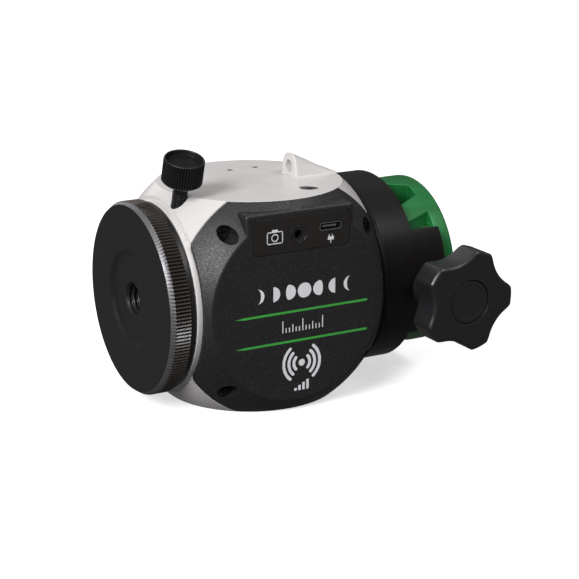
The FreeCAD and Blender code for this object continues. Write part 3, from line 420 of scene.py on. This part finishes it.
def rounded_slab(x0, x1, z0, z1, corner, y_inner, y_outer, edge, steps=3):
    """Rounded rectangle from y_inner to y_outer, its outer rim rounded by edge."""
    side = 1 if y_outer > y_inner else -1
    points, rings = [], []
    levels = [(y_inner, 0.0), (y_outer - side * edge, 0.0)]
    for k in range(1, steps + 1):
        angle = math.pi / 2 * k / steps
        levels.append((y_outer - side * edge * (1 - math.sin(angle)),
                       edge * (1 - math.cos(angle))))
    for y, inset in levels:
        ring = outline_box(x0 + inset, x1 - inset, z0 + inset, z1 - inset,
                           max(corner - inset, 0.05))
        rings.append(list(range(len(points), len(points) + len(ring))))
        points += [(x, y, z) for x, z in ring]
    faces = rings_to_faces(rings)
    return points, faces + [tuple(rings[0]), tuple(rings[-1])]


def rod(start, end, radius, segments=48, flare=0.0):
    """Cutter along start-end; flare widens its far end into a chamfered mouth."""
    start, end = Vector(start), Vector(end)
    at = along(start, end - start)
    length = (end - start).length
    return lathe([(0, 0), (0, radius), (length - flare, radius), (length, radius + flare),
                  (length, 0)], at, segments)


def boolean(obj, shapes, operation="DIFFERENCE"):
    """Cut or join closed shapes in millimetres into obj's mesh, one exact operation each."""
    for points, faces in shapes:
        tool = linked("cutter", mesh_of("cutter", points, faces))
        modifier = obj.modifiers.new("cut", "BOOLEAN")
        modifier.operation = operation
        modifier.solver = "EXACT"
        modifier.object = tool
        depsgraph = bpy.context.evaluated_depsgraph_get()
        result = bpy.data.meshes.new_from_object(obj.evaluated_get(depsgraph))
        obj.modifiers.clear()
        obj.data = result
        bpy.data.objects.remove(tool)


# ---- housing shells ------------------------------------------------------

def open_edges(work, normal, height):
    """Boundary edges lying in the plane normal . p = height."""
    return [e for e in work.edges
            if e.is_boundary and all(abs(v.co.dot(normal) - height) < 1e-3 for v in e.verts)]


def extrude_ring(work, edges, place):
    """Extrude boundary edges and move every new vertex to place(vertex)."""
    made = bmesh.ops.extrude_edge_only(work, edges=edges)["geom"]
    for vert in (g for g in made if isinstance(g, bmesh.types.BMVert)):
        vert.co = place(vert.co)
    return [g for g in made if isinstance(g, bmesh.types.BMEdge) and g.is_boundary]


def slice_off(work, normal, height):
    """Cut away what is past the plane normal . p = height, and give its open edges."""
    geometry = work.verts[:] + work.edges[:] + work.faces[:]
    bmesh.ops.bisect_plane(work, geom=geometry, plane_co=normal * height, plane_no=normal,
                           clear_outer=True, dist=1e-5)
    return open_edges(work, normal, height)


def round_flat(work, normal, distance, rounding, steps=6):
    """Cut a flat into the ball with a rolling-ball fillet of the given radius round it."""
    centre_h = distance - rounding
    centre_r = math.sqrt((BALL_R - rounding) ** 2 - centre_h ** 2)
    start = math.atan2(centre_r, centre_h)

    def placed(angle, inset=0.0):
        height = centre_h + rounding * math.cos(angle)
        radius = centre_r + rounding * math.sin(angle) - inset

        def place(co):
            out = (co - normal * co.dot(normal)).normalized()
            return normal * height + out * radius
        return place
    edges = slice_off(work, normal, centre_h * BALL_R / (BALL_R - rounding))
    tangent = placed(start)
    for vert in {v for e in edges for v in e.verts}:
        vert.co = tangent(vert.co)
    for k in range(1, steps + 1):
        edges = extrude_ring(work, edges, placed(start * (1 - k / steps)))
    edges = extrude_ring(work, edges, placed(0, 0.8))
    bmesh.ops.edgeloop_fill(work, edges=edges)


def close_slice(work, normal, height, lip):
    """Slice square across and close it, with a small rounded lip where lip isn't 0."""
    def placed(rise, pull):
        def place(co):
            out = co - normal * co.dot(normal)
            return normal * (height - lip * (1 - rise)) + out * (1 - lip * pull / out.length)
        return place
    edges = slice_off(work, normal, height - lip)
    if lip > 0:
        edges = extrude_ring(work, edges, placed(0.7, 0.3))
        edges = extrude_ring(work, edges, placed(1.0, 1.0))
    bmesh.ops.edgeloop_fill(work, edges=edges)


def flat_ball(flats, cuts):
    """Ball about the origin with rounded flats (normal, distance, rounding), then square
    cuts (normal, height, lip)."""
    work = bmesh.new()
    bmesh.ops.create_icosphere(work, subdivisions=6, radius=BALL_R)
    for normal, distance, rounding in flats:
        round_flat(work, Vector(normal), distance, rounding)
    for normal, height, lip in cuts:
        close_slice(work, Vector(normal), height, lip)
    return work


def settle(name, work):
    """Object from a ball mesh, moved to the ball's place."""
    bmesh.ops.recalc_face_normals(work, faces=work.faces)
    for vert in work.verts:
        vert.co = (vert.co + Vector((BALL_X, 0, 0))) * MM
    mesh = bpy.data.meshes.new(name)
    work.to_mesh(mesh)
    work.free()
    return linked(name, mesh)


BOTTOM_FLAT = ((0, 0, -1), -BASE_Z, 0.8)
FRONT_FLAT = ((-1, 0, 0), BALL_X - FRONT_X, 0.2)
REAR_FLAT = ((1, 0, 0), REAR_X - BALL_X, 0.4)


def cover_shell(name, side):
    """Side cover: the ball past one seam, under the lid."""
    flats = [BOTTOM_FLAT, FRONT_FLAT, REAR_FLAT, ((0, side, 0), SIDE_Y, 1.1)]
    cuts = [((0, -side, 0), -SEAM_Y - SEAM_GAP, 0.12), ((0, 0, 1), TOP_Z - LID_T - LID_GAP, 0.1)]
    return settle(name, flat_ball(flats, cuts))


def screw_bores(side):
    return [rod((x, side * SCREW_SEAT_Y, z), (x, side * BORE_END_Y, z), SCREW_BORE_R)
            for x, z in COVER_SCREWS]


def slab_round(node, grow, corner, y_inner, y_outer):
    """Cutter round a CAD node's box in X and Z, grown by (left, right, down, up)."""
    near, far = low(node), high(node)
    left, right, down, up = grow
    return rounded_slab(near.x - left, far.x + right, near.z - down, far.z + up, corner,
                        y_inner, y_outer, 0.01)


def drum(x0, x1, radius):
    """Cutter round the polar axis."""
    return lathe([(x0, 0), (x0, radius), (x1, radius), (x1, 0)], X_AXIS, 96)


def thumb_hole():
    """Cutter for the thumb screw's shank, from the socket out through the top."""
    return rod(THUMB_AXIS(19, 0, 0), THUMB_AXIS(40, 0, 0), THUMB_SHANK_R + 0.06)


def top_screw_hole(flare=0.0):
    return rod((*TOP_SCREW, TOP_Z - 1.5), (*TOP_SCREW, ABOVE_TOP), TOP_SCREW_BORE_R, flare=flare)


def small_holes(depth):
    return [rod((x, y, TOP_Z - depth), (x, y, ABOVE_TOP), TOP_HOLE_R, 32) for x, y in TOP_HOLES]


def white_body():
    """The white housing between the covers, with its socket, bearing seat and battery bay."""
    cuts = [((0, 1, 0), SEAM_Y - SEAM_GAP, 0.2), ((0, -1, 0), SEAM_Y - SEAM_GAP, 0.2),
            ((0, 0, 1), TOP_Z - LID_T, 0)]
    body = settle("body_shell", flat_ball([BOTTOM_FLAT, FRONT_FLAT, REAR_FLAT], cuts))
    socket = drum(SOCKET_X0, SOCKET_X1, SOCKET_R)
    seat = drum(SEAT_X0, SEAT_X1, SEAT_R)
    bay = slab_round("battery_tray", (0.2,) * 4, 1.0, low("battery_tray").y - 0.2, SEAM_Y + 2)
    boolean(body, [socket, seat, thumb_hole(), bay, top_screw_hole(), *small_holes(2.6)])
    dress(body, "white_paint", "housing", ["main_body"])


def body_lid():
    """Lid over the whole top flat, with dark cups in its two small holes as painted shade."""
    lid = settle("body_lid", flat_ball([((0, 0, 1), TOP_Z, 0.15)],
                                       [((0, 0, -1), LID_T - TOP_Z, 0)]))
    boolean(lid, [top_screw_hole(flare=0.3), thumb_hole(), *small_holes(1)])
    dress(lid, "white_paint", "housing")
    # Painted shade: dark cups line the two small holes.
    shade_cups = [lathe([(-2.5, 0), (-2.5, 0.7), (-0.25, 0.75), (-0.1, 0.99), (-0.4, 0.99)],
                     along((x, y, TOP_Z), (0, 0, 1)), 32) for x, y in TOP_HOLES]
    piece("hole_shade_cups", *join(*shade_cups), "black_screw", "housing")


def body_collar():
    """Ring round the adapter's socket."""
    collar = [(FRONT_X + 0.05, SOCKET_R)]
    collar += round_corners([(COLLAR_X, SOCKET_R), (COLLAR_X, COLLAR_R),
                             (FRONT_X + 0.8, COLLAR_R)], 0.4)
    piece("body_collar", *lathe(collar, X_AXIS, 192), "white_paint", "housing")


def fin_section(x, length_share, inset):
    """Half-round of the fin across X, from foot to foot."""
    across, foot = 28, TOP_Z - 0.05
    half = 4.6 - 0.5 * length_share - inset
    height = FIN_HEIGHT0 + (FIN_HEIGHT1 - FIN_HEIGHT0) * length_share - inset
    flare = min(0.9, height * 0.5)
    ring = [(x, -half - flare, foot), (x, -half - 0.35 * flare, TOP_Z + 0.12 * flare)]
    for k in range(across + 1):
        angle = math.pi * (1 - k / across)
        c, s = math.cos(angle), math.sin(angle)
        y = math.copysign(abs(c) ** 0.78, c) * half
        ring.append((x, y, TOP_Z + max(0.35 * flare, height * s ** 0.85)))
    return ring + [(x, half + 0.35 * flare, TOP_Z + 0.12 * flare), (x, half + flare, foot)]


def sight_fin():
    """Sighting fin: an arch that falls away to the rear, flared into the top flat."""
    length = FIN_X1 - FIN_X0
    stations = [(FIN_X0, 0.55), (FIN_X0 + 0.12, 0.22), (FIN_X0 + 0.4, 0.04)]
    stations += [(FIN_X0 + 0.8 + (length - 0.8) * k / 20, 0.0) for k in range(21)]
    points, rings = [], []
    for x, inset in stations:
        ring = fin_section(x, (x - FIN_X0) / length, inset)
        rings.append(list(range(len(points), len(points) + len(ring))))
        points += ring
    faces = rings_to_faces(rings) + [tuple(rings[0]), tuple(rings[-1])]
    fin = linked("sight_fin", mesh_of("sight_fin", points, faces))
    boolean(fin, [rod((70, 0, FIN_HOLE_Z), (FIN_X0 - 0.3, 0, FIN_HOLE_Z), 2.0, flare=0.35)])
    dress(fin, "white_paint", "housing", angle=50)


def port_cover():
    """Port-side cover with its raised pad, the panel's recess and the two ports."""
    cover = cover_shell("port_shell", -1)
    pad = rounded_slab(PAD_X0, PAD_X1, PAD_Z0, PAD_Z1, PAD_ROUND, -SEAM_Y - 0.3,
                       -SIDE_Y + 0.01, PAD_EDGE)
    boolean(cover, [pad], "UNION")
    recess = slab_round("port_panel", (0.15,) * 4, 1.75, -SIDE_Y + 0.35, -SIDE_Y - 1)
    jack = rod((JACK_X, PORT_BACK_Y, JACK_Z), (JACK_X, -BORE_END_Y, JACK_Z), JACK_R + 0.15)
    usb = rounded_slab(USB_X0 - 0.05, USB_X1 + 0.05, USB_Z0 - 0.05, USB_Z1 + 0.05, USB_ROUND,
                       PORT_BACK_Y, -BORE_END_Y, 0.01)
    boolean(cover, screw_bores(-1) + [recess, jack, usb])
    dress(cover, "black_shell", "housing", ["port_cover"])


def round_opening(node, start_y, clearance, segments=48):
    """Flared bore through the battery side round a round CAD node."""
    near, far = low(node), high(node)
    mid = (near + far) / 2
    return rod((mid.x, start_y, mid.z), (mid.x, SIDE_Y + 0.3, mid.z),
               (far.x - near.x) / 2 + clearance, segments, flare=0.35)


def battery_cover():
    """Far cover with the door's rebate, the bay, the button's bore and the light's."""
    cover = cover_shell("battery_shell", 1)
    rebate = slab_round("battery_door", (0.2,) * 4, 4.0, SIDE_Y - 1.4, SIDE_Y + 1)
    bay = slab_round("battery_door", (-1.0, -1.0, -0.8, -0.8), 3.0, SEAM_Y - 1, SIDE_Y)
    button = round_opening("power_button", SEAM_Y - 1, 0.15)
    light = round_opening("status_led", low("status_led").y, 0.1, 32)
    boolean(cover, screw_bores(1) + [rebate, bay, button, light])
    dress(cover, "black_shell", "housing", ["battery_cover"])


# ---- tripod adapter and thumb screw ---------------------------------------

def tripod_disc():
    """Knurled disc with its recess, thread, clamp groove and rear spigot."""
    groove_r, hollow_r, boss_r = SPIGOT_R - 1.2, 15.5, 9.0
    boss_x, hollow_x = THREAD_DEPTH + 2.5, DISC_X1 + 1.8
    front = round_corners([(THREAD_DEPTH, 0), (THREAD_DEPTH, THREAD_MAJOR_R),
                           (0.45, THREAD_MAJOR_R), (0.0, 5.25), (0.0, 13.7), (DISC_X0, 15.0),
                           (DISC_X0, DISC_R - BEVEL_R), (DISC_X0 + BEVEL_X, DISC_R)],
                          [0, 0, 0, 0.4, 0.35, 0.15])[:-1]
    bevel = [(DISC_X0 + BEVEL_X - 0.6, DISC_R - 0.42)]
    band = [(DISC_X0 + BEVEL_X, DISC_R, 0.45), (DISC_X0 + BEVEL_X + 0.2, DISC_R, KNURL_DEPTH),
            (DISC_BAND_X - 0.1, DISC_R, KNURL_DEPTH), (DISC_BAND_X + 0.15, DISC_R - 0.6, 0.0)]
    rear = round_corners([(DISC_BAND_X + 0.3, DISC_REAR_R), (DISC_X1, DISC_REAR_R),
                          (DISC_X1, SPIGOT_R), (THUMB_X - 3.4, SPIGOT_R),
                          (THUMB_X - 0.8, groove_r), (THUMB_X + 0.8, groove_r),
                          (THUMB_X + 3.4, SPIGOT_R), (SPIGOT_X1, SPIGOT_R),
                          (SPIGOT_X1, hollow_r), (hollow_x, hollow_r), (hollow_x, boss_r),
                          (boss_x, boss_r), (boss_x, 0)],
                         [0.5, 0.2, 0.3, 0.3, 0.3, 0.3, 0.6, 0.2, 0, 0, 0])
    disc = lathe(front + bevel + band + rear, X_AXIS, DISC_TEETH * 6, teeth=DISC_TEETH)
    disc = piece("tripod_disc", *disc, "black_anodised", "tripod_base", ["tripod_adapter"])
    # The front bevel takes the lighter grey of a painted highlight.
    paint(disc, "painted_bevel_highlight", lambda c, r: c.x < DISC_X0 + BEVEL_X and r > DISC_R - BEVEL_R)
    paint(disc, "knurl_black", lambda c, r: c.x > DISC_X0 + BEVEL_X and r > DISC_REAR_R + 0.05)
    wall = helix_wall(X_AXIS, 0.3, THREAD_DEPTH, THREAD_MAJOR_R - 0.02, THREAD_MINOR_R,
                      THREAD_PITCH)
    piece("tripod_thread", *wall, "black_anodised", "tripod_base", angle=60)


def in_dish(centre, _):
    """Whether a face of the thumb screw lies in the dish of its head."""
    offset = centre - Vector((THUMB_X, 0, 0))
    up = offset.dot(THUMB_UP)
    return up > THUMB_TOP - 2 and (offset - THUMB_UP * up).length < THUMB_HEAD_R - 0.7


def thumb_screw():
    """Knurled head with a dished top, over a threaded shank."""
    base, floor = THUMB_TOP - THUMB_HEAD_H, THUMB_TOP - 1.8
    r = THUMB_HEAD_R
    start = [(base, 0), (base, r - 1.0), (base + 0.5, r - 0.45, 0.0)]
    knurl = [(base + 0.7, r, TOOTH_DEPTH), (THUMB_TOP - 0.45, r, TOOTH_DEPTH)]
    dish = round_corners([(THUMB_TOP - 0.2, r - 0.2), (THUMB_TOP, r - 0.4),
                          (THUMB_TOP - 0.25, r - 0.62), (floor, r - 0.75), (floor, 0)],
                         [0.1, 0.1, 0.4])
    head = lathe(start + knurl + dish, THUMB_AXIS, THUMB_TEETH * 6, teeth=THUMB_TEETH)
    shank = helix_wall(THUMB_AXIS, THUMB_TIP + 0.1, base - 0.2, THUMB_SHANK_R - 0.45,
                       THUMB_SHANK_R, THUMB_PITCH, segments=32)
    tip = lathe([(THUMB_TIP, 0), (THUMB_TIP, 1.9), (THUMB_TIP + 0.15, 2.05)], THUMB_AXIS, 32)
    thumb = piece("thumb_head", *join(head, shank, tip), "black_anodised", "thumb_turn",
                  ["thumb_screw"])
    paint(thumb, "dish_black", in_dish)


# ---- clamp knob ----------------------------------------------------------

def star_radius(angle):
    """Distance of the knob's edge from its axis: scallops between five rounded lobes."""
    lobes, scallop, deep, fillet = 5, 12.6, 12.9, 1.6
    turn, reach = math.radians(-1.2), deep + scallop
    off = (angle - turn + math.pi / lobes) % (2 * math.pi / lobes) - math.pi / lobes
    valley = math.pi / lobes - abs(off)
    gap = scallop ** 2 - (reach * math.sin(valley)) ** 2
    cut = reach * math.cos(valley) - math.sqrt(gap) if gap > 0 else KNOB_R * 2
    soft = max(fillet - abs(cut - KNOB_R), 0) / fillet
    return min(cut, KNOB_R) - soft * soft * fillet * 0.25


def star_outline(samples=300):
    """Outline about the knob's axis as (x, z, outward x, outward z)."""
    angles = [2 * math.pi * j / samples for j in range(samples)]
    loop = [(star_radius(a) * math.cos(a), star_radius(a) * math.sin(a)) for a in angles]
    outline = []
    for j, (x, z) in enumerate(loop):
        ax, az = loop[j - 1]
        bx, bz = loop[(j + 1) % samples]
        size = math.hypot(bx - ax, bz - az)
        outline.append((x, z, (bz - az) / size, -(bx - ax) / size))
    return outline


def star_body():
    """Lobed body as rings: a hollow back, the rim, then the front down to the inset cap."""
    outline = star_outline()
    points, rings = [], []

    def add_ring(ring):
        rings.append(list(range(len(points), len(points) + len(ring))))
        points.extend(ring)

    def add_circle(y, radius, share=1.0):
        """Circle of that radius, or a blend of the star and the circle."""
        ring = []
        for x, z, _, _ in outline:
            pull = 1 - share + share * radius / math.hypot(x, z)
            ring.append((KNOB_X + x * pull, y, z * pull))
        add_ring(ring)
    add_circle(KNOB_Y0, 5.0)
    add_circle(KNOB_Y0, 9.0)
    for y, inset in ((KNOB_Y0, 1.0), (KNOB_Y0 - 0.25, 0.35), (KNOB_Y0 - 0.9, 0.0),
                     (KNOB_Y1 + 0.95, 0.0), (KNOB_Y1 + 0.8, 0.06), (KNOB_Y1 + 0.22, 0.52),
                     (KNOB_Y1 + 0.06, 0.85), (KNOB_Y1 + 0.02, 1.3)):
        add_ring([(KNOB_X + x - inset * nx, y, z - inset * nz) for x, z, nx, nz in outline])
    add_circle(KNOB_Y1 + 0.01, KNOB_CAP_R + 0.35, share=0.5)
    add_circle(KNOB_Y1 + 0.01, KNOB_CAP_R + 0.35)
    add_circle(KNOB_Y1 + 0.1, KNOB_CAP_R + 0.1)
    add_circle(KNOB_Y1 + 0.35, KNOB_CAP_R)
    add_circle(KNOB_Y1 + 1.2, KNOB_CAP_R)
    return points, rings_to_faces(rings)


def star_knob():
    """Five-lobed clamp knob with its hub and inset cap."""
    axis = along((KNOB_X, 0, 0), (0, -1, 0))
    hub = lathe(round_corners([(HUB_START, 3.0), (HUB_START, HUB_R), (HUB_END, HUB_R)], 0.5),
                axis, 96)
    piece("knob_star", *join(star_body(), hub), "knob_black", "clamp_knob", ["star_knob"],
          angle=40)
    cap_y, cap_r = -KNOB_Y1 - 0.35, KNOB_CAP_R - 0.15
    cap = round_corners([(cap_y - 0.9, cap_r), (cap_y, cap_r), (cap_y, 5.6), (cap_y - 0.12, 5.2),
                         (cap_y - 0.12, 0)], [0.35, 0.3, 0.3])
    piece("knob_insert", *lathe(cap, axis, 96), "knob_black", "clamp_knob", ["knob_cap"])


# ---- port panel and printed marks -----------------------------------------

def port_panel():
    """Inset plate with the two openings, and the jack's stepped ring."""
    near, far = low("port_panel"), high("port_panel")
    plate = rounded_slab(near.x, far.x, near.z, far.z, 1.6, -SIDE_Y + 0.34, -SIDE_Y + 0.03, 0.12)
    panel = linked("panel_plate", mesh_of("panel_plate", *plate))
    jack = rod((JACK_X, PANEL_BACK_Y, JACK_Z), (JACK_X, -SIDE_Y - 0.2, JACK_Z), JACK_R, flare=0.3)
    usb = rounded_slab(USB_X0, USB_X1, USB_Z0, USB_Z1, USB_ROUND, PANEL_BACK_Y, -SIDE_Y - 1, 0.01)
    boolean(panel, [jack, usb])
    dress(panel, "panel_black", "housing", ["port_panel"])
    ring = round_corners([(SIDE_Y - 1.0, 2.7), (SIDE_Y - 0.02, 2.7), (SIDE_Y - 0.02, 2.1),
                          (SIDE_Y - 0.5, 1.55), (SIDE_Y - 4, 1.3)], [0.15, 0.1, 0.2])
    piece("jack_ring", *lathe(ring, along((JACK_X, 0, JACK_Z), (0, -1, 0)), 48), "chip_black",
          "housing")


def on_face(outlines, lift=0.02):
    """Flat faces on the port side from (x, z) outlines."""
    points, faces = [], []
    for outline in outlines:
        faces.append(tuple(range(len(points), len(points) + len(outline))))
        points += [(x, -SIDE_Y - lift, z) for x, z in outline]
    return points, faces


def arc_points(x, z, radius, start, end, steps=20):
    """Points along an arc, in degrees."""
    angles = [math.radians(start + (end - start) * k / steps) for k in range(steps + 1)]
    return [(x + radius * math.cos(a), z + radius * math.sin(a)) for a in angles]


def dot(x, z, radius):
    return arc_points(x, z, radius, 0, 360, 32)[:-1]


def arc_band(x, z, radius, start, end, width):
    """Band along an arc, in degrees, with round ends."""
    half = width / 2
    (end_x, end_z), (start_x, start_z) = arc_points(x, z, radius, end, start, 1)
    outline = arc_points(x, z, radius + half, start, end)
    outline += arc_points(end_x, end_z, half, end, end + 180, 8)[1:-1]
    outline += arc_points(x, z, radius - half, end, start)
    outline += arc_points(start_x, start_z, half, start + 180, start + 360, 8)[1:-1]
    return outline


def bar(x0, x1, z0, z1):
    return [(x0, z0), (x1, z0), (x1, z1), (x0, z1)]


def moon(x, z, radius, lit):
    """Filled moon phase: lit from -1, waning, to 1, waxing; 0 is full."""
    if lit == 0:
        return dot(x, z, radius)
    side = 1 if lit > 0 else -1
    width = 1 - 2 * (1 - abs(lit))
    rim = [(x + side * (px - x), pz) for px, pz in arc_points(x, z, radius, -90, 90)]
    shade = [(x + width * (px - x), pz) for px, pz in reversed(rim[1:-1])]
    return rim + shade


def rules():
    """Two long lines, pointed at the left and blunt at the right."""
    shapes = []
    for z in RULE_HEIGHTS:
        top, base, tail, nose = z + RULE_HALF, z - RULE_HALF, RULE_X0 + 3.0, RULE_X1 - 0.5
        shapes.append([(RULE_X0, z), (tail, base), (nose, base), (RULE_X1, z), (nose, top),
                       (tail, top)])
    return shapes


def tick_scale():
    """Ticks of three heights, the tallest at every sixth."""
    shapes = []
    for k in range(TICKS):
        x = SCALE_X + TICK_STEP * k
        height = 3.8 if k % 6 == 0 else 2.4 if k % 3 == 0 else 1.5
        shapes.append(bar(x - TICK_HALF, x + TICK_HALF, SCALE_Z, SCALE_Z + height))
    return shapes


def wireless():
    """A dot with three arcs on either side, over four rising signal bars."""
    shapes = [dot(WIRELESS_X, WIRELESS_Z, 1.1)]
    for radius, spread in ((2.75, 42), (4.5, 47), (6.25, 50)):
        for middle in (0, 180):
            shapes.append(arc_band(WIRELESS_X, WIRELESS_Z, radius, middle - spread,
                                   middle + spread, WIRELESS_WIDTH))
    left, base = WIRELESS_X - 2.6, WIRELESS_Z - 8.8
    for k in range(4):
        shapes.append(bar(left + 1.4 * k, left + 0.9 + 1.4 * k, base, base + 0.9 + 0.75 * k))
    return shapes


def printed_marks():
    """Generic marks: two rules, a row of moon phases, a scale and a wireless symbol."""
    moons = [moon(MOON_X + MOON_STEP * k, MOON_Z, MOON_R, phase)
             for k, phase in enumerate(MOON_PHASES)]
    piece("rule_marks", *on_face(rules()), "panel_black", "housing", finish="green_ink")
    piece("white_marks", *on_face(moons + tick_scale() + wireless()), "panel_black", "housing",
          finish="white_ink")


def panel_icons():
    """A camera before the jack and a plug under the USB opening."""
    x0, x1, z0, z1, line = 29.2, 34.6, 20.5, 24.3, 0.3
    snap = [arc_band((x0 + x1) / 2, (z0 + z1) / 2, 1.05, 0, 359, line),
            bar(x0, x1, z0, z0 + line), bar(x0, x1, z1 - line, z1), bar(x0, x0 + line, z0, z1),
            bar(x1 - line, x1, z0, z1), bar(x0 + 1.7, x0 + 3.7, z1, z1 + 0.6)]
    x, z = (USB_X0 + USB_X1) / 2, 19.5
    plug = [bar(x - 1.05, x + 1.05, z, z + 1), bar(x - 0.7, x - 0.4, z + 1, z + 1.7),
            bar(x + 0.4, x + 0.7, z + 1, z + 1.7), bar(x - 0.15, x + 0.15, z - 1, z)]
    piece("panel_marks", *on_face(snap + plug, -0.01), "panel_black", "housing",
          finish="white_ink")


# ---- CAD nodes that stay --------------------------------------------------

def edge_finish(node, width):
    """Round the edges of a CAD node that stays, with modifiers only."""
    obj = NODES[node]
    obj.data.polygons.foreach_set("use_smooth", [True] * len(obj.data.polygons))
    weld = obj.modifiers.new("weld", "WELD")
    weld.merge_threshold = 0.002 * MM
    flat = obj.modifiers.new("flat_faces", "DECIMATE")
    flat.decimate_type = "DISSOLVE"
    flat.angle_limit = math.radians(0.5)
    bevel = obj.modifiers.new("bevel", "BEVEL")
    bevel.width = width * MM
    bevel.segments = 2
    bevel.limit_method = "ANGLE"
    bevel.angle_limit = math.radians(28)
    bevel.use_clamp_overlap = False
    even = obj.modifiers.new("even_normals", "WEIGHTED_NORMAL")
    even.weight = 80


def finish_cad_nodes():
    """Materials for every CAD node, and rounded edges on the two large ones that stay."""
    for part in frame["record"]["subparts"]:
        mesh = NODES[part["node"]].data
        finish = "platform_black" if part["node"] == "platform" else part["material_slot"]
        mesh.materials.clear()
        mesh.materials.append(MATERIALS[finish])
    edge_finish("platform", 0.3)
    edge_finish("mount_puck", 0.35)


# ---- stage, light and camera ---------------------------------------------

def pale_floor():
    """Pale floor, which the object's gloss doesn't show."""
    bpy.ops.mesh.primitive_plane_add(size=6.0, location=(0, 0, BASE_Z * MM))
    floor = bpy.context.object
    floor.name = "floor"
    material, _, shader = node_material("floor_pale")
    shader.inputs["Base Color"].default_value = (0.92, 0.92, 0.92, 1)
    shader.inputs["Roughness"].default_value = 0.9
    shader.inputs["Emission Color"].default_value = (1, 1, 1, 1)
    shader.inputs["Emission Strength"].default_value = 0.6
    floor.data.materials.append(material)
    floor.visible_glossy = False
    floor.visible_diffuse = False


def sky():
    """World that brightens upwards."""
    world = bpy.data.worlds.new("studio")
    world.use_nodes = True
    tree = world.node_tree
    direction = tree.nodes.new("ShaderNodeTexCoord").outputs["Generated"]
    split = tree.nodes.new("ShaderNodeSeparateXYZ")
    tree.links.new(direction, split.inputs["Vector"])
    grey = ramp(tree, split.outputs["Z"], 0.35, 1.0, SKY_LOW, SKY_HIGH)
    tree.links.new(grey, tree.nodes["Background"].inputs["Color"])
    bpy.context.scene.world = world


def area_light(name, place, target, side, watts):
    """Square soft lamp; place, target and side are in metres."""
    data = bpy.data.lights.new(name, "AREA")
    data.shape = "SQUARE"
    data.size = side
    data.energy = watts
    lamp = linked(name, data)
    lamp.location = place
    lamp.rotation_euler = (Vector(target) - Vector(place)).to_track_quat("-Z", "Y").to_euler()


def camera():
    """Camera in front of the port side, left of it and a little above."""
    azimuth, elevation, roll = math.radians(-29.40), math.radians(16.55), math.radians(0.16)
    place = Vector((-205.42, -461.98, 152.54)) * MM
    data = bpy.data.cameras.new("camera")
    data.sensor_width, data.lens = 36.0, 107.2
    data.clip_start, data.clip_end = 0.01, 20.0
    eye = linked("camera", data)
    forward = Vector((-math.sin(azimuth) * math.cos(elevation),
                      math.cos(azimuth) * math.cos(elevation), -math.sin(elevation)))
    turn = forward.to_track_quat("-Z", "Y").to_matrix().to_4x4()
    eye.matrix_world = Matrix.Translation(place) @ turn @ Matrix.Rotation(roll, 4, "Z")
    bpy.context.scene.camera = eye


finish_cad_nodes()
white_body()
body_lid()
body_collar()
sight_fin()
port_cover()
battery_cover()
tripod_disc()
thumb_screw()
star_knob()
port_panel()
printed_marks()
panel_icons()
pale_floor()
sky()
area_light("key", place=(-0.82, -0.50, 0.60), target=(0.03, 0, 0), side=0.42, watts=11.5)
area_light("top", place=(0.38, -0.52, 0.80), target=(0.06, 0, 0), side=0.30, watts=2.2)
area_light("back", place=(0.15, 1.00, 0.35), target=(0.03, 0, 0), side=0.45, watts=1.2)
camera()
bpy.context.scene.view_settings.view_transform = "Standard"
